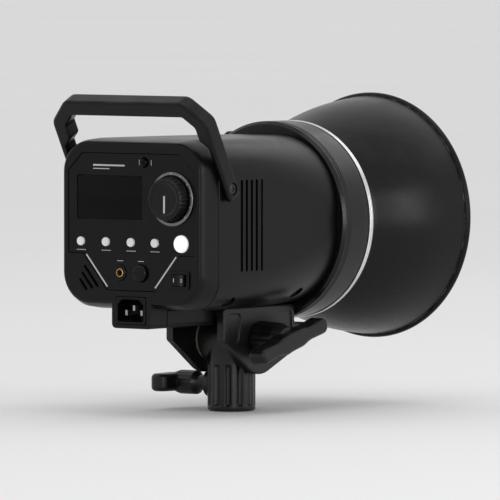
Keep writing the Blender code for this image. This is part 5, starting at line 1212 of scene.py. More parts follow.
def make_dial_trim(at):
    low = PANEL_REAR + GAP
    top = low + TRIM_THICK
    trim = [(low, TRIM_INNER), (low, TRIM_OUTER), (top - 0.0005, TRIM_OUTER, 0.0003)]
    trim += [(top, TRIM_OUTER - 0.0006, 0.0003), (top, TRIM_INNER + 0.0008)]
    trim.append((top - 0.0007, TRIM_INNER))
    bm = turned(trim, "Y", at, closed=True, fine=3)
    piece("dial_trim_ring", bm, TRIM_GREY, "fibre", "dial_ring")
    marks = []
    for step in range(INDEX_MARKS):
        wide, long = (0.00022, 0.0006) if step % 5 else (0.0003, 0.0008)
        mark = block(oblong(-wide, wide, -long, long), top + 0.00001, top + 0.00006, "Y")
        mark = moved(mark, (0, 0, INDEX_RADIUS))
        marks.append(moved(mark, DIAL_AT, INDEX_FIRST + INDEX_PITCH * step, "Y"))
    piece("dial_index_marks", together(marks), PRINT_AND_PAINTED_HIGHLIGHT, "grey_caps")


def make_dial():
    at = DIAL_AT + Vector((0, 0, OPTICAL_AXIS))
    make_dial_trim(at)
    bore_end = DIAL_TOP - 0.0027
    dish = DIAL_TOP - 0.0009
    knob = [(bore_end, 0), (bore_end, DIAL_BORE), (DIAL_LOW, DIAL_BORE)]
    knob += [(DIAL_LOW, DIAL_RADIUS - 0.0006), (DIAL_LOW + 0.0006, DIAL_RADIUS)]
    knob += [(DIAL_LOW + 0.0018 * step, DIAL_RADIUS - 0.00012 * step) for step in (1, 2, 3)]
    knob.append((DIAL_TOP - 0.0014, DIAL_RADIUS * 0.957, 0.0006))
    knob.append((DIAL_TOP - 0.0002, DIAL_RADIUS * 0.87, 0.0008))
    knob += [(DIAL_TOP, DIAL_RADIUS * 0.83, 0.0004), (DIAL_TOP, DIAL_RADIUS * 0.76, 0.0004)]
    knob += [(DIAL_TOP - 0.0007, DIAL_RADIUS * 0.68, 0.0008), (dish, DIAL_RADIUS * 0.3), (dish, 0)]
    bm = turned(knob, "Y", at, DIAL_FLUTES * 6, shaped=fluted, fine=4)
    name = "control_dial"
    eased(piece(name + "_knob", bm, RUBBER, "smooth_black", name, body=name), 0.00015)
    inlay = oblong(-0.0007, 0.0007, -0.0100, 0.0025, 0.0006)
    pointer = moved(block(inlay, DIAL_TOP - 0.0013, DIAL_TOP - 0.0004, "Y"), at)
    eased(piece("dial_pointer_inlay", pointer, PRINT_AND_PAINTED_HIGHLIGHT, "grey_caps", body=name), 0.00012)
    carried(STEEL, "dial_shaft")
    carried(FIBRE, "dial_encoder")


make_dial()


# Buttons. Four caps of pale grey silicone-painted ABS and one large lit test button pass
# through the plate; their flanges behind it keep them from falling out.
BUTTON_STEM = 0.1065
BUTTON_STANDS = 0.0016
FLANGE = 0.0012
GREY_CAP = coated(
    "pale grey caps", (0.74, 0.75, 0.76), grey(0.85), 0.40, 1800, 0.00001, wear=0.3, dust=0.1
)
LIT_WHITE = coated(
    "lit white cap", (0.85, 0.86, 0.88), grey(0.9), 0.35, 1800, 0.00001,
    wear=0.1, dust=0.1, Emission_Color=(0.93, 0.96, 1.0, 1), Emission_Strength=0.30,
)


def button_cap(name, x, radius, material, slot):
    """A cap with a dished face and a soft rim."""
    top = PANEL_REAR + BUTTON_STANDS
    flange = PANEL_FRONT - GAP
    side = [(BUTTON_STEM, 0), (BUTTON_STEM, radius * 0.6), (flange - FLANGE, radius * 0.6)]
    side += [(flange - FLANGE, radius + FLANGE), (flange, radius + FLANGE), (flange, radius)]
    side += [(top - 0.0005, radius, 0.0003), (top - 0.0001, radius * 0.93, 0.0003)]
    side += [(top, radius * 0.84, 0.0002), (top - 0.0002, radius * 0.62, 0.0008)]
    side += [(top - 0.00035, radius * 0.2), (top - 0.00035, 0)]
    bm = on_axis(turned(side, "Y", (x, 0, BUTTON_Z), 64, fine=3))
    piece(name + "_cap", bm, material, slot, name, body=name)


def make_buttons():
    for index, x in enumerate(BUTTON_XS, 1):
        button_cap(f"function_button_{index}", x, BUTTON_RADIUS, GREY_CAP, "grey_caps")
    button_cap("test_button", TEST_AT.x, TEST_RADIUS, LIT_WHITE, "lit_white")
    carried(BOARD, "control_board")


make_buttons()


# Sockets and sensor. A 3.5 mm sync jack with a brass bush, a screw-in fuse holder, and a
# smoked dome over the slave cell.
JACK_REAR = PANEL_REAR + 0.0010
JACK_FRONT = PANEL_FRONT - 0.010
JACK_BORE = 0.0032
FUSE_BORE = 0.0048
FUSE_STANDS = 0.0028
SENSOR_DOME = 0.0021


def make_sync_socket():
    floor = JACK_FRONT + 0.002
    body = [(JACK_FRONT, 0), (JACK_FRONT, SYNC_RADIUS), (JACK_REAR - 0.0003, SYNC_RADIUS)]
    body += [(JACK_REAR, SYNC_RADIUS - 0.0003), (JACK_REAR, JACK_BORE + 0.0004)]
    body += [(JACK_REAR - 0.0004, JACK_BORE), (floor, JACK_BORE), (floor, 0)]
    jack = on_axis(turned(body, "Y", SYNC_AT, 64))
    piece("sync_jack", jack, PANEL_BLACK, "smooth_black", "sync_socket")
    inner, outer = JACK_BORE - 0.0008, JACK_BORE - 0.0001
    bush = [(JACK_REAR - 0.0048, inner), (JACK_REAR - 0.0048, outer), (JACK_REAR - 0.0002, outer)]
    bush += [(JACK_REAR, outer - 0.0002), (JACK_REAR, inner + 0.0001), (JACK_REAR - 0.0003, inner)]
    bm = on_axis(turned(bush, "Y", SYNC_AT, 64, closed=True))
    piece("sync_jack_bush", bm, BRASS, "brass")


def gripped(reach, radius, turn):
    """Fine grip ribs round the fuse cap's edge."""
    return radius - 0.00018 * (radius > 0.0058) * (0.5 + 0.5 * math.cos(turn * 20))


def make_fuse_cap():
    carried(PANEL_BLACK, "fuse_holder")
    low = PANEL_REAR + GAP
    high = low + FUSE_STANDS
    plug = FUSE_BORE - 0.0005
    cap = [(PANEL_REAR - 0.006, 0), (PANEL_REAR - 0.006, plug), (low, plug)]
    cap += [(low, FUSE_RADIUS - 0.0002), (low + 0.0004, FUSE_RADIUS)]
    cap += [(high - 0.0010, FUSE_RADIUS - 0.0001, 0.0004), (high - 0.0003, 0.0054, 0.0003)]
    cap += [(high, 0.0046, 0.0002), (high, 0)]
    bm = on_axis(turned(cap, "Y", FUSE_AT, 120, shaped=gripped, fine=3))
    made = piece("fuse_cap_screw", bm, PANEL_BLACK, "smooth_black", "fuse_cap", body="fuse_cap")
    slot = block(oblong(-0.00425, 0.00425, -0.0006, 0.0006), high - 0.0006, high + 0.001, "Y")
    cut(made, on_axis(moved(slot, FUSE_AT)))
    eased(made, 0.00012)


def make_sensor():
    rear = PANEL_FRONT - 0.001
    start = PANEL_REAR + 0.0006
    side = [(rear, 0), (rear, SENSOR_RADIUS), (start, SENSOR_RADIUS)]
    for step in range(1, 9):
        turn = math.pi / 2 * step / 9
        side.append((start + SENSOR_DOME * math.sin(turn), SENSOR_RADIUS * math.cos(turn)))
    side.append((start + SENSOR_DOME, 0))
    bm = on_axis(turned(side, "Y", SENSOR_AT, 64))
    piece("slave_sensor_lens", bm, DARK_GLASS, "dark_glass", "slave_sensor_dome")


make_sync_socket()
make_fuse_cap()
make_sensor()


# Power switch. A snap-in frame of polished black nylon and a rocker with a dished face,
# marked on its two halves; it pivots on pins halfway along the frame.
SWITCH_RIM = 0.0012
WELL_WALL = 0.0010
WELL_FLOOR = -0.0060
ROCKER_TURN = math.radians(-8)
ROCKER_SIDE_GAP = 0.00075
ROCKER_EDGE_HIGH = 0.0028
ROCKER_MIDDLE_HIGH = 0.0010
ROCKER_MARK_AT = 0.0040
ROCKER_MARK_HIGH = 0.00223
ROCKER_MARK_THICK = 0.00006


def centred(wide, tall, radius=0.0):
    return oblong(-wide, wide, -tall, tall, radius)


def make_power_switch():
    at = SWITCH_AT + Vector((0, 0, OPTICAL_AXIS))
    rim = [size + SWITCH_RIM for size in SWITCH_HALF]
    well = [size - WELL_WALL for size in SWITCH_HALF]
    bm = moved(block(centred(*rim, 0.0016), 0, 0.0012, "Y", 0.0005), at)
    made = piece("power_switch_bezel", bm, PANEL_BLACK, "smooth_black", "power_switch_frame")
    joined(made, moved(block(centred(*SWITCH_HALF), -0.016, 0.0006, "Y"), at))
    cut(made, moved(block(centred(*well, 0.0005), WELL_FLOOR, 0.003, "Y"), at))
    eased(made, 0.00015)
    reach = well[0] - ROCKER_SIDE_GAP
    low = -0.0018
    outline = [(-reach, low), (0, -0.0034), (reach, low), (reach, ROCKER_EDGE_HIGH, 0.0006)]
    outline += [(0, ROCKER_MIDDLE_HIGH, 0.03), (-reach, ROCKER_EDGE_HIGH, 0.0006)]
    half = well[1] - GAP
    pressed = Matrix.Translation(SWITCH_AT) @ Matrix.Rotation(ROCKER_TURN, 4, "Z")
    rocker = on_axis(placed(block(outline, -half, half, "Z"), pressed))
    name = "power_switch_rocker"
    eased(piece("power_rocker_cap", rocker, PANEL_BLACK, "smooth_black", name, body=name))
    slope = math.atan((ROCKER_EDGE_HIGH - ROCKER_MIDDLE_HIGH) / reach)
    thick = ROCKER_MARK_THICK
    circle = turned([(0, 0.0009), (thick, 0.0009), (thick, 0.0014), (0, 0.0014)], closed=True)
    bar = block(centred(0.0003, 0.0014), 0, thick, "Y")
    marks = []
    for side, mark in ((-1, circle), (1, bar)):
        spot = (side * ROCKER_MARK_AT, ROCKER_MARK_HIGH, 0)
        marks.append(placed(moved(mark, spot, side * slope, "Z"), pressed))
    piece("power_rocker_marks", together(marks), PRINT_AND_PAINTED_HIGHLIGHT, "grey_caps", body=name)


make_power_switch()


# Mains inlet. A black thermoplastic C14 insert with three plated blades, and below the
# shell the moulded channel that carries its wires forward, ribbed along its floor.
INLET_REAR = COVER_REAR + 0.0005
INLET_LONG = 0.0195
INLET_WALL = 0.0016
INLET_KEY = 0.004
INLET_ROUND = 0.0012
BLADES = ((-0.007, -0.00175), (0, 0.00175), (0.007, -0.00175))
CHANNEL_START = 0.0433
CHANNEL_WALL = 0.0025
GROOVE_XS = (-0.010, -0.005, 0, 0.005, 0.010)
GROOVE_HALF = 0.0009


def make_inlet():
    at = (0, 0, OPTICAL_AXIS + INLET_HEIGHT)
    outline = centred(*INLET_HALF, INLET_ROUND)
    body = moved(block(outline, INLET_REAR - INLET_LONG, INLET_REAR, "Y", 0.0005), at)
    made = piece("mains_inlet_body", body, PANEL_BLACK, "smooth_black", "mains_inlet")
    wide, tall = (size - INLET_WALL for size in INLET_HALF)
    key = INLET_KEY
    outline = [(-wide, -tall), (wide, -tall), (wide, tall - key), (wide - key, tall)]
    outline += [(key - wide, tall), (-wide, tall - key)]
    outline = [(*spot, INLET_ROUND) for spot in outline]
    well = block(outline, INLET_REAR - 0.015, INLET_REAR + PAST / 2, "Y")
    cut(made, moved(well, at))
    eased(made)
    blades = []
    for x, z in BLADES:
        blade = block(centred(0.001, 0.002, GAP), INLET_REAR - 0.0155, INLET_REAR - 0.004, "Y")
        blades.append(moved(blade, (x, 0, INLET_HEIGHT + z)))
    eased(piece("mains_inlet_blades", together(blades), STEEL, "steel"), segments=3)


def make_inlet_channel():
    top = -SHELL_LOW - GAP
    half = [(-TONGUE_HALF, top, 0.0005), (-TONGUE_HALF, TONGUE_LOW, TONGUE_ROUND)]
    body = on_axis(block(mirrored(half), CHANNEL_START, SHELL_REAR, "Y"))
    made = piece("inlet_wire_channel", body, SHELL_BLACK, "moulded_black", "inlet_channel")
    field = inset_by((-TONGUE_HALF, TONGUE_HALF, TONGUE_LOW, top), CHANNEL_WALL)
    room = block(oblong(*field, 0.0015), CHANNEL_START + CHANNEL_WALL, SHELL_REAR + PAST / 2, "Y")
    cut(made, on_axis(room))
    grooves = []
    for x in GROOVE_XS:
        field = (x - GROOVE_HALF, x + GROOVE_HALF, TONGUE_LOW - PAST / 2, TONGUE_LOW + 0.0007)
        grooves.append(block(oblong(*field), CHANNEL_START + 0.005, SHELL_REAR - 0.006, "Y"))
    cut(made, together(grooves))
    eased(made, 0.0004)


make_inlet()
make_inlet_channel()


# Handle. A flat frame of glass-filled nylon that leans back over the panel. Its thin feet
# lie against both sides and each is held by a screw whose head sits in a round pocket.
HANDLE_LEAN = math.radians(-28)
HANDLE_WIDE = 0.071
HANDLE_TOP = 0.073
HANDLE_LOW = -0.008
HANDLE_INSIDE = SHELL_HALF + GAP
HANDLE_HALF_DEPTH = 0.0065
HANDLE_EDGE = 0.0024
HANDLE_POCKET = 0.0688
HANDLE_POCKET_RADIUS = 0.0045
HANDLE_SCREW_TOP = 0.0706
HANDLE_BLACK = coated(
    "black glass-filled nylon", (0.0030, 0.0030, 0.0033), grey(0.04), 0.34, 1300, 0.00005,
    wear=0.5, dust=0.4, pebbles=0.3, Specular_IOR_Level=0.20,
)


def make_handle():
    half = [(0.054, HANDLE_TOP, 0.010), (HANDLE_WIDE, 0.056, 0.010)]
    half += [(HANDLE_WIDE, HANDLE_LOW, 0.0030), (HANDLE_INSIDE, HANDLE_LOW, 0.0026)]
    half += [(HANDLE_INSIDE, 0.036, 0.0026), (0.0590, 0.042, 0.004), (0.0590, 0.0525, 0.004)]
    half.append((0.0505, 0.061, 0.004))
    depth = HANDLE_HALF_DEPTH
    bm = block(mirrored(half), -depth, depth, "Y", HANDLE_EDGE, 5, fine=7)
    bm = on_axis(moved(bm, HANDLE_FOOT, HANDLE_LEAN))
    made = piece("carry_handle", bm, HANDLE_BLACK, "moulded_black", "handle")
    wide = HANDLE_WIDE + PAST
    cut(made, on_axis(rod(-wide, wide, SHELL_SCREW_HOLE, "X", HANDLE_FOOT)))
    ends = [on_side(side, HANDLE_POCKET, wide) for side in (1, -1)]
    cut(made, together(rod(*pair, HANDLE_POCKET_RADIUS, "X", HANDLE_FOOT) for pair in ends))
    eased(made)
    sizes = {"radius": 0.0042, "head": 0.0016, "shank": 0.002, "length": 0.0100}
    for hand, side in (("left", 1), ("right", -1)):
        name = f"handle_screw_{hand}"
        at = HANDLE_FOOT + Vector((side * HANDLE_SCREW_TOP, 0, OPTICAL_AXIS))
        cross_screw(name + "_head", name, at, (side, 0, 0), **sizes)


make_handle()


# Front collar. A round moulding screwed to the shell's nose. It has a thumb slot for the
# latch, shallow rings round its skin and a stepped front band beside the mount ring.
COLLAR_REAR = -0.0413
COLLAR_WEB = -0.0443
COLLAR_STEP = -0.0663
COLLAR_FRONT = -0.0713
COLLAR_RADIUS = 0.0725
COLLAR_BAND = 0.0718
COLLAR_BORE = 0.0700
COLLAR_HOLE = 0.050
COLLAR_GROOVES = (-0.0449, -0.0473)
COLLAR_GROOVE_DEPTH = 0.0004
LATCH_TURN = math.radians(38)
COLLAR_BLACK = coated(
    "satin black collar", (0.0040, 0.0040, 0.0043), grey(0.04), 0.28, 1500, 0.00003,
    wear=0.5, dust=0.25, Specular_IOR_Level=0.30,
)


def at_latch(*shapes):
    """Shapes drawn with the latch on top, turned to where the latch is."""
    return together(moved(bm, turn=LATCH_TURN, axis="Y") for bm in shapes)


def make_collar():
    profile = [(COLLAR_REAR, COLLAR_HOLE), (COLLAR_REAR, COLLAR_RADIUS - 0.0022, 0.0008)]
    profile.append((COLLAR_REAR - 0.0022, COLLAR_RADIUS, 0.0006))
    sunk = COLLAR_RADIUS - COLLAR_GROOVE_DEPTH
    for y in COLLAR_GROOVES:
        profile += [(y, COLLAR_RADIUS), (y - 0.0004, sunk)]
        profile += [(y - 0.0010, sunk), (y - 0.0014, COLLAR_RADIUS)]
    profile.append((COLLAR_STEP, COLLAR_RADIUS, 0.0006))
    profile += [(COLLAR_STEP - 0.0010, COLLAR_BAND, 0.0006), (COLLAR_FRONT + 0.0004, COLLAR_BAND)]
    profile += [(COLLAR_FRONT, COLLAR_BAND - 0.0004), (COLLAR_FRONT, COLLAR_BORE)]
    profile += [(COLLAR_WEB, COLLAR_BORE, 0.001), (COLLAR_WEB, COLLAR_HOLE)]
    bm = on_axis(turned(profile, steps=144, closed=True, fine=4))
    made = piece("front_collar_shell", bm, COLLAR_BLACK, "moulded_black", "front_collar")
    slot = oblong(-0.00305, 0.00305, -0.0583, -0.0448)
    cut(made, at_latch(block(slot, 0.0684, 0.076, "Z")))
    eased(made, 0.00025)


make_collar()


# Mount ring. Machined aluminium with three openings for the reflector's lugs and a hole for
# the locking pin; the fitted reflector hides all but its polished outer edge.
RING_REAR = COLLAR_FRONT - GAP
RING_GROOVE = -0.0731
RING_FRONT = -0.0753
RING_LIP = 0.062
LUGS = 3
LUG_OPENING_RADIUS = 0.067
LUG_OPENING_ARC = math.radians(28)
PIN_HEIGHT = 0.0684
PIN_HOLE = 0.0016
BRIGHT_RING = metal("turned aluminium", (0.88, 0.89, 0.90), 0.20, 0.06, 500, 0.000002, (1, 9, 1))


def arc_block(radius, inner, middle, arc, low, high):
    """Part of a ring, centred on the middle angle."""
    turns = [middle + arc * (step / 10 - 0.5) for step in range(11)]
    outline = [(radius * math.sin(turn), radius * math.cos(turn)) for turn in turns]
    outline += [(inner * math.sin(turn), inner * math.cos(turn)) for turn in reversed(turns)]
    return block(outline, low, high, "Y")


def make_mount_ring():
    edge = COLLAR_RADIUS
    profile = [(RING_REAR, RING_LIP), (RING_REAR, edge - 0.0003), (RING_REAR - 0.0003, edge)]
    profile += [(RING_GROOVE, edge), (RING_GROOVE - 0.0002, edge - 0.0002)]
    profile += [(RING_GROOVE - 0.0005, edge - 0.0002), (RING_GROOVE - 0.0007, edge)]
    profile += [(RING_FRONT + 0.0006, edge), (RING_FRONT, edge - 0.0006), (RING_FRONT, RING_LIP)]
    bm = on_axis(turned(profile, steps=144, closed=True))
    made = piece("mount_ring_plate", bm, BRIGHT_RING, "silver", "mount_ring")
    ends = (RING_FRONT - PAST / 2, RING_REAR + PAST / 2)
    openings = []
    for step in range(LUGS):
        middle = math.tau * step / LUGS
        openings.append(arc_block(LUG_OPENING_RADIUS, 0.060, middle, LUG_OPENING_ARC, *ends))
    pin_hole = rod(*ends, PIN_HOLE, "Y", (0, 0, PIN_HEIGHT), 16)
    openings.append(moved(pin_hole, turn=LATCH_TURN, axis="Y"))
    cut(made, together(openings))
    eased(made, 0.0002)


make_mount_ring()


# Release latch. A thumb slide of black nylon through the collar's slot. A bar under the skin
# carries the steel locking pin, and the pin is drawn back when the tab is pushed rearward.
LATCH_GROOVES = (-0.0573, -0.0555, -0.0537, -0.0519)
PIN_RADIUS = 0.0013
PIN_TIP = -0.0768
PIN_REAR = -0.0700


def make_latch():
    bar = block(oblong(-0.0030, 0.0030, -0.0713, -0.0513), 0.0671, 0.0694, "Z", 0.0004)
    name = "release_latch"
    made = piece("latch_slide", at_latch(bar), KNOB_BLACK, "smooth_black", name, body=name)
    neck = block(oblong(-0.00275, 0.00275, -0.0580, -0.0511), 0.0690, 0.0745, "Z")
    tab = block(oblong(-0.0060, 0.0060, -0.0595, -0.0496, 0.0022), 0.0731, 0.0773, "Z", 0.0010)
    joined(made, at_latch(neck), at_latch(tab))
    grooves = [oblong(-0.0070, 0.0070, y - 0.0004, y + 0.0004) for y in LATCH_GROOVES]
    cut(made, at_latch(*[block(groove, 0.0768, 0.079, "Z") for groove in grooves]))
    eased(made, 0.0002)
    pin = [(PIN_TIP, 0), (PIN_TIP, PIN_RADIUS - 0.0004), (PIN_TIP + 0.0004, PIN_RADIUS)]
    pin += [(PIN_REAR, PIN_RADIUS), (PIN_REAR, 0)]
    bm = at_latch(turned(pin, "Y", (0, 0, PIN_HEIGHT), 24))
    piece("latch_pin", bm, STEEL, "steel", body=name)


make_latch()


# Bayonet ring. A pressed steel ring riveted to the reflector's back; three lugs turn behind
# the mount ring's lip, and a notch in its flange meets the locking pin.
HUB_REAR = -0.0688
HUB_SIDE = 0.0617
FLANGE_REAR = RING_FRONT - GAP
FLANGE_FRONT = -0.0776
FLANGE_RADIUS = 0.071
REFLECTOR_HOLE = 0.058
LUG_RADIUS = 0.0664
LUG_ROOT = 0.0607
LUG_SPAN = (-0.0713, -0.06895)
LUG_ARC = math.radians(24)
LUG_TURN = math.radians(30)
RING_ZINC = metal("bright-zinc ring", (0.80, 0.81, 0.82), 0.20, 0.08, 400, 0.000003)


def make_bayonet_ring():
    profile = [(HUB_REAR, REFLECTOR_HOLE), (HUB_REAR, HUB_SIDE - 0.0004)]
    profile += [(HUB_REAR - 0.0004, HUB_SIDE), (FLANGE_REAR, HUB_SIDE, 0.0003)]
    profile += [(FLANGE_REAR, FLANGE_RADIUS, 0.0003), (FLANGE_FRONT, FLANGE_RADIUS, 0.0003)]
    profile.append((FLANGE_FRONT, REFLECTOR_HOLE))
    bm = on_axis(turned(profile, steps=144, closed=True, fine=3))
    name = "reflector_bayonet_ring"
    made = piece("bayonet_ring_plate", bm, RING_ZINC, "silver", name, body="reflector")
    middles = [math.tau * step / LUGS + LUG_TURN for step in range(LUGS)]
    sizes = (LUG_ARC, *LUG_SPAN)
    joined(made, together(arc_block(LUG_RADIUS, LUG_ROOT, middle, *sizes) for middle in middles))
    notch = oblong(-0.0019, 0.0125, -0.0790, -0.0745)
    cut(made, at_latch(block(notch, 0.0665, 0.075, "Z")))
    eased(made, 0.0002)


make_bayonet_ring()


# Reflector. A bowl spun from aluminium sheet with a rolled rim. It is satin black outside;
# inside it keeps the metal, hammered so that its light is even.
BOWL_BACK = FLANGE_FRONT - GAP
BOWL_MOUTH = -0.1714
BOWL_NECK = 0.0685
BOWL_WIDE = 0.0886
BOWL_SWELL = 0.0035
BOWL_WALL = 0.0012
BOWL_SHOULDER = 0.003
BOWL_STEPS = 168
RIM = 0.0027
PAINT_BLACK = coated(
    "satin black paint", grey(0.0030), (0.42, 0.42, 0.43), 0.30, 1100, 0.00001,
    wear=0.30, dust=0.12, pebbles=0.1, Specular_IOR_Level=0.20,
)


def hammered():
    """Bright aluminium, dimpled all over by the hammering rolls."""
    material = metal("hammered aluminium", (0.86, 0.87, 0.88), 0.22, 0.08, 120, 0.000005)
    tree = material.node_tree
    inputs = (("Vector", object_spot(tree)), ("Scale", 300.0))
    dents = node(tree, "TexVoronoi", inputs, feature="SMOOTH_F1")
    bumped(tree, tree.nodes["Principled BSDF"], dents.outputs["Distance"], 0.00035)
    return material


def bowl_radius(share):
    """Outside radius from the neck (0) to the mouth (1), swelling a little between."""
    return BOWL_NECK + (BOWL_WIDE - BOWL_NECK) * share + BOWL_SWELL * math.sin(math.pi * share)


def bowl_back():
    """From the hole in the back out to the rounded shoulder."""
    back = [(BOWL_BACK, REFLECTOR_HOLE), (BOWL_BACK, BOWL_NECK - BOWL_SHOULDER)]
    for step in range(1, 5):
        turn = math.pi / 2 * step / 5
        radius = BOWL_NECK - BOWL_SHOULDER * (1 - math.sin(turn))
        back.append((BOWL_BACK - BOWL_SHOULDER * (1 - math.cos(turn)), radius))
    return back


def rolled_rim():
    """The sheet's edge, rolled outward round the mouth."""
    lip = []
    for step in range(15):
        turn = math.radians(150 - 240 * step / 14)
        radius = BOWL_WIDE - 0.0002 + RIM * 0.98 * math.sin(turn)
        lip.append((BOWL_MOUTH + RIM + RIM * math.cos(turn), max(radius, BOWL_WIDE - BOWL_WALL)))
    return lip


def make_reflector():
    start = BOWL_BACK - BOWL_SHOULDER
    length = start - BOWL_MOUTH - 2 * RIM
    outer = [(start - length * step / 24, bowl_radius(step / 24)) for step in range(25)]
    inner = [(reach, radius - BOWL_WALL) for reach, radius in reversed(outer)]
    inside = BOWL_BACK - BOWL_WALL
    inner += [(inside, BOWL_NECK - BOWL_SHOULDER - BOWL_WALL), (inside, REFLECTOR_HOLE)]
    outer = bowl_back() + outer + rolled_rim()
    bm = turned(outer + inner, steps=BOWL_STEPS, closed=True)
    bm.faces.ensure_lookup_table()
    bare = range(len(outer) - 3, len(outer + inner) - 1)
    for index, face in enumerate(bm.faces):
        face.material_index = int(index // BOWL_STEPS in bare)
    name = "reflector"
    made = piece(name + "_bowl", on_axis(bm), PAINT_BLACK, "painted_black", name, body=name)
    made.data.materials.append(hammered())


make_reflector()


# Front plate. A steel disc inside the collar, pierced all round for cooling air. Its face
# is white enamel, to send back stray light; its rim takes the collar's black as painted shade,
# so that the view through the latch slot stays dark.
PLATE_REAR = -0.0446
PLATE_FRONT = -0.0476
PLATE_RADIUS = 0.066
PLATE_HOLE = 0.0168
AIR_HOLES = 24
AIR_HOLE_RADIUS = 0.0026
AIR_HOLE_RING = 0.0525
ENAMEL = coated(
    "white enamel", (0.66, 0.66, 0.65), grey(0.35), 0.28, 500, 0.00002, wear=0.5, dust=0.2
)


def make_front_plate():
    sunk = PLATE_FRONT + 0.0005
    profile = [(PLATE_REAR, PLATE_HOLE), (PLATE_REAR, PLATE_RADIUS)]
    profile += [(PLATE_FRONT + 0.0006, PLATE_RADIUS), (PLATE_FRONT, PLATE_RADIUS - 0.0006)]
    profile += [(PLATE_FRONT, 0.0600), (sunk, 0.0594), (sunk, 0.0200), (PLATE_FRONT, 0.0194)]
    profile.append((PLATE_FRONT, PLATE_HOLE))
    bm = on_axis(turned(profile, steps=120, closed=True))
    made = piece("front_plate_enamelled", bm, ENAMEL, "silver", "front_plate")
    ends = (PLATE_FRONT - PAST / 2, PLATE_REAR + PAST / 2)
    holes = []
    for step in range(AIR_HOLES):
        turn = math.tau * (step + 0.5) / AIR_HOLES
        centre = (AIR_HOLE_RING * math.sin(turn), 0, AIR_HOLE_RING * math.cos(turn))
        holes.append(rod(*ends, AIR_HOLE_RADIUS, "Y", centre, 20))
    cut(made, together(holes))
    # The rim's faces take the collar's black: painted shade where the latch slot looks in.
    made.data.materials.append(COLLAR_BLACK)
    for face in made.data.polygons:
        spot = face.center - Vector((0, face.center.y, OPTICAL_AXIS))
        face.material_index = int(spot.length > PLATE_RADIUS - 0.0005)
    eased(made, 0.00015)


make_front_plate()


# Modelling lamp. A halogen capsule in a pearl glass envelope, with a screw cap of plated
# steel in a glazed ceramic socket; the coiled filament hangs between its two leads.
SOCKET_REAR = PLATE_FRONT + 0.012
SOCKET_FRONT = -0.0656
SOCKET_SIDE = 0.0165
SOCKET_BORE = 0.0128
CAP_REAR = SOCKET_REAR - 0.0033
CAP_FRONT = SOCKET_FRONT - 0.0020
CAP_RADIUS = 0.0125
THREADS = 5
THREAD_PITCH = 0.0036
GLOBE_RADIUS = 0.0175
GLOBE_MIDDLE = -0.1061
FILAMENT_RADIUS = 0.0016
FILAMENT_START = -0.0865
FILAMENT_LONG = 0.0115
FILAMENT_TURNS = 20
LEAD_X = 0.0036
LEAD_REAR = -0.0680
CERAMIC = coated(
    "glazed ceramic", (0.72, 0.69, 0.62), (0.5, 0.47, 0.42), 0.30, 700, 0.00004, wear=0.4, dust=0.1
)
CLEAR = glass("clear quartz", (0.97, 0.97, 0.95), 0.01)
PEARL = glass("pearl glass", (0.97, 0.97, 0.96), 0.16)
TUNGSTEN = metal("tungsten and nickel wire", (0.45, 0.44, 0.43), 0.25, 0.2, 900, 0.00001)


def wire(route, radius, steps):
    """A round wire or tube along a route of points."""
    route = [Vector(spot) for spot in route]
    side = (route[1] - route[0]).orthogonal()
    rings = []
    for index, here in enumerate(route):
        before = route[max(index - 1, 0)]
        after = route[min(index + 1, len(route) - 1)]
        ahead = (after - before).normalized()
        side = (side - ahead * side.dot(ahead)).normalized()
        up = ahead.cross(side)
        ring = []
        for step in range(steps):
            turn = math.tau * step / steps
            ring.append(here + side * radius * math.cos(turn) + up * radius * math.sin(turn))
        rings.append(ring)
    return skin(bmesh.new(), rings)


def envelope(inset=0.0):
    """The lamp's glass, or the hollow inside it when set in by the wall."""
    base = CAP_FRONT - 0.0002 - inset
    globe = GLOBE_RADIUS - inset
    outline = [(base, 0), (base, 0.0118 - inset), (SOCKET_FRONT - 0.004, 0.0135 - inset, 0.004)]
    outline += [(SOCKET_FRONT - 0.0105, 0.0172 - inset, 0.008), (GLOBE_MIDDLE, globe)]
    for step in range(1, 12):
        turn = math.pi / 2 * step / 12
        outline.append((GLOBE_MIDDLE - globe * math.sin(turn), globe * math.cos(turn)))
    outline.append((GLOBE_MIDDLE - globe, 0))
    return on_axis(turned(outline, steps=72, fine=4))


def capsule(inset=0.0):
    """The small quartz capsule round the filament, or its hollow."""
    outline = [(-0.0690 - inset, 0), (-0.0690 - inset, 0.0052 - inset)]
    outline += [(-0.0800, 0.0058 - inset, 0.001), (-0.0985, 0.0058 - inset, 0.003)]
    outline += [(-0.1040 + inset, 0.0020, 0.0015), (-0.1052 + inset, 0)]
    return on_axis(turned(outline, steps=48))


def make_lamp_socket():
    bore = SOCKET_BORE
    body = [(SOCKET_REAR, 0), (SOCKET_REAR, SOCKET_SIDE)]
    body += [(SOCKET_FRONT + 0.004, SOCKET_SIDE, 0.0004), (SOCKET_FRONT + 0.0034, 0.0158, 0.0003)]
    body += [(SOCKET_FRONT, 0.0158, 0.0008), (SOCKET_FRONT, bore + 0.0006)]
    body += [(SOCKET_FRONT + 0.0006, bore), (SOCKET_REAR - 0.003, bore), (SOCKET_REAR - 0.003, 0)]
    bm = on_axis(turned(body, steps=72, fine=3))
    piece("lamp_socket_ceramic", bm, CERAMIC, "ceramic", "lamp_socket")


def make_lamp_cap():
    cap = [(CAP_REAR, 0), (CAP_REAR, 0.0095), (CAP_REAR - 0.003, CAP_RADIUS, 0.0006)]
    for step in range(THREADS):
        y = CAP_REAR - 0.0055 - THREAD_PITCH * step
        cap += [(y, CAP_RADIUS), (y - 0.0012, CAP_RADIUS - 0.0007), (y - 0.0024, CAP_RADIUS)]
    cap += [(CAP_FRONT, CAP_RADIUS, 0.0005), (CAP_FRONT, 0)]
    bm = on_axis(turned(cap, steps=72, fine=3))
    piece("lamp_cap", bm, STEEL, "steel", "modelling_lamp")


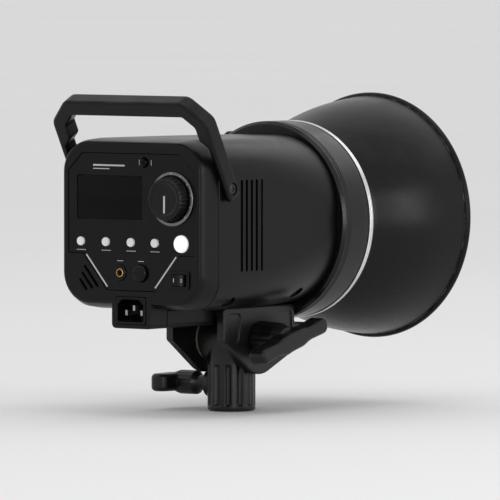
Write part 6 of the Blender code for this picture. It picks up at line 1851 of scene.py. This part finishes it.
def make_filament():
    steps = 12 * FILAMENT_TURNS
    route = [(FILAMENT_RADIUS, LEAD_REAR, 0)]
    for step in range(steps + 1):
        turn = math.tau * step / 12
        across, up = FILAMENT_RADIUS * math.cos(turn), FILAMENT_RADIUS * math.sin(turn)
        route.append((across, FILAMENT_START - FILAMENT_LONG * step / steps, up))
    route += [(LEAD_X, FILAMENT_START - FILAMENT_LONG - 0.0002, 0), (LEAD_X, LEAD_REAR, 0)]
    piece("lamp_filament", on_axis(wire(route, 0.00022, 6)), TUNGSTEN, "steel")


make_lamp_socket()
cut(piece("lamp_envelope", envelope(), PEARL, "clear_glass"), envelope(0.0007))
make_lamp_cap()
cut(piece("halogen_capsule", capsule(), CLEAR, "clear_glass"), capsule(0.0006))
make_filament()


# Flash tube. A ring of quartz tube round the lamp; its two legs turn back into ceramic
# feet, each with a nickel electrode inside, and the trigger wire is wound round the ring.
TUBE_RING = 0.036
TUBE_RADIUS = 0.0048
TUBE_WALL = 0.0009
TUBE_Y = -0.094
TUBE_BACK = -0.0556
TUBE_OPEN = math.radians(50)
TUBE_BEND = 0.0075
TUBE_STEPS = 72
TRIGGER_RADIUS = 0.0002
FOOT_SIDE = 0.0085
FOOT_LONG = 0.012
ELECTRODE_RADIUS = 0.0016
ELECTRODE_REAR = TUBE_BACK - 0.001
ELECTRODE_FRONT = TUBE_BACK - 0.0175


def tube_leg(end, ahead):
    """The straight leg in its foot and the bend up to the ring."""
    onward = (ahead - end).normalized()
    leg = [end + Vector((0, TUBE_BACK - TUBE_Y, 0)), end + Vector((0, 0.020, 0))]
    for step in range(9):
        turn = math.pi / 2 * step / 8
        rise = Vector((0, TUBE_BEND * (1 - math.sin(turn)), 0))
        leg.append(end + rise + onward * TUBE_BEND * (1 - math.cos(turn)))
    return leg


def trigger_route(arc):
    """A helix just off the tube, four points to each step of the ring."""
    back = Vector((0, 1, 0))
    route = []
    for index, (here, after) in enumerate(zip(arc, arc[1:])):
        side = back.cross((after - here).normalized())
        for step in range(4):
            turn = math.tau * (index * 4 + step) / 12
            out = (side * math.cos(turn) + back * math.sin(turn)) * (TUBE_RADIUS + GAP)
            route.append(here.lerp(after, step / 4) + out)
    return route


def make_tube_foot(hand, end):
    rear = PLATE_FRONT - GAP
    front = rear - FOOT_LONG
    inside = TUBE_BACK + GAP
    bore = TUBE_RADIUS + 0.0006
    profile = [(rear, 0), (rear, FOOT_SIDE), (front + 0.0035, FOOT_SIDE, 0.0005)]
    profile += [(front + 0.0030, 0.0078, 0.0004), (front, 0.0078, 0.0008), (front, bore)]
    profile += [(inside, bore), (inside, 0)]
    at = (end.x, 0, end.z)
    foot = on_axis(turned(profile, "Y", at, 48, fine=3))
    name = f"tube_socket_{hand}"
    piece(name + "_ceramic", foot, CERAMIC, "ceramic", name)
    profile = [(ELECTRODE_REAR, 0), (ELECTRODE_REAR, ELECTRODE_RADIUS)]
    profile += [(ELECTRODE_FRONT + 0.0015, ELECTRODE_RADIUS), (ELECTRODE_FRONT, 0.0008)]
    profile.append((ELECTRODE_FRONT, 0))
    electrode = on_axis(turned(profile, "Y", at, 24))
    piece(f"flash_electrode_{hand}", electrode, TUNGSTEN, "steel")


def make_flash_tube():
    start = (TUBE_OPEN - math.pi) / 2
    arc = []
    for step in range(TUBE_STEPS + 1):
        turn = start + (math.tau - TUBE_OPEN) * step / TUBE_STEPS
        arc.append(Vector((TUBE_RING * math.cos(turn), TUBE_Y, TUBE_RING * math.sin(turn))))
    path = tube_leg(arc[0], arc[1]) + arc[4:-4] + tube_leg(arc[-1], arc[-2])[::-1]
    outer = on_axis(wire(path, TUBE_RADIUS, 24))
    tube = piece("flash_tube_quartz", outer, CLEAR, "clear_glass", "flash_tube")
    path[0].y -= 0.001
    path[-1].y -= 0.001
    cut(tube, on_axis(wire(path, TUBE_RADIUS - TUBE_WALL, 24)))
    trigger = on_axis(wire(trigger_route(arc), TRIGGER_RADIUS, 5))
    piece("flash_trigger_wire", trigger, TUNGSTEN, "steel")
    make_tube_foot("left", arc[0])
    make_tube_foot("right", arc[-1])


make_flash_tube()


# Stage, light and camera. A plain pale floor, soft boxes above, ahead of the head and at
# its side, and a long lens from behind the panel and a little above the axis.
FLOOR_HALF = 40
FLOOR_ROUND = 30
FLOOR_Z = -0.0005
VIEW_AZIMUTH = math.radians(218)
VIEW_HEIGHT = math.radians(2.5)
VIEW_DISTANCE = 6.2
VIEW_WIDTH = 0.365
SOFT_BOXES = {
    "overhead": ((-0.4, 0.2, 1.6), (1.0, 0.8), 2.4),
    "front side": ((-2.05, -0.85, 0.35), (0.35, 1.3), 7),
    "rear side": ((-1.65, 1.3, 0.15), (0.22, 1.1), 9),
    "rim": ((-0.1, -1.8, 1.45), (1.5, 0.4), 2.2),
}


def paper():
    """Matt seamless paper, with the faintest cloudiness."""
    material, tree, shader = new_material("seamless paper", Roughness=0.9)
    cloud = noise(tree, object_spot(tree), 1.5)
    tone = colour_mix(tree, cloud, (0.86, 0.86, 0.865, 1), shade(grey(0.90)))
    feed(tree, shader.inputs["Base Color"], tone)
    return material


def make_stage():
    bm = bmesh.new()
    ends = (-FLOOR_HALF, FLOOR_HALF)
    outline = oblong(*ends, *ends, FLOOR_ROUND, 16)
    bm.faces.new([bm.verts.new((x, y, 0)) for x, y in outline])
    mesh = bpy.data.meshes.new("floor")
    bm.to_mesh(mesh)
    bm.free()
    floor = bpy.data.objects.new("floor", mesh)
    floor.location.z = FLOOR_Z
    mesh.materials.append(paper())
    bpy.context.scene.collection.objects.link(floor)
    floor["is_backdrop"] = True


def add_light(name, toward, at, size, power):
    lamp = bpy.data.lights.new(name, "AREA")
    lamp.shape = "RECTANGLE"
    lamp.size, lamp.size_y = size
    lamp.energy = power
    holder = bpy.data.objects.new(name, lamp)
    holder.location = at
    holder.rotation_euler = (toward - Vector(at)).to_track_quat("-Z", "Y").to_euler()
    bpy.context.scene.collection.objects.link(holder)


def add_camera(toward):
    camera = bpy.data.objects.new("camera", bpy.data.cameras.new("camera"))
    bpy.context.scene.collection.objects.link(camera)
    flat = math.cos(VIEW_HEIGHT)
    across, along = math.sin(VIEW_AZIMUTH) * flat, -math.cos(VIEW_AZIMUTH) * flat
    back = Vector((across, along, math.sin(VIEW_HEIGHT)))
    camera.location = toward + back * VIEW_DISTANCE
    camera.rotation_euler = (-back).to_track_quat("-Z", "Y").to_euler()
    camera.data.lens = camera.data.sensor_width * VIEW_DISTANCE / VIEW_WIDTH
    camera.data.clip_end = 100
    bpy.context.scene.camera = camera


def make_light_and_camera():
    low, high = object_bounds()
    middle = (low + high) / 2
    world = bpy.data.worlds.new("studio")
    world.use_nodes = True
    background = world.node_tree.nodes["Background"]
    background.inputs["Color"].default_value = (1, 1, 1, 1)
    background.inputs["Strength"].default_value = 0.78
    bpy.context.scene.world = world
    bpy.context.scene.view_settings.view_transform = "Standard"
    for name, settings in SOFT_BOXES.items():
        add_light(name, middle, *settings)
    add_camera(middle)


make_stage()
make_light_and_camera()
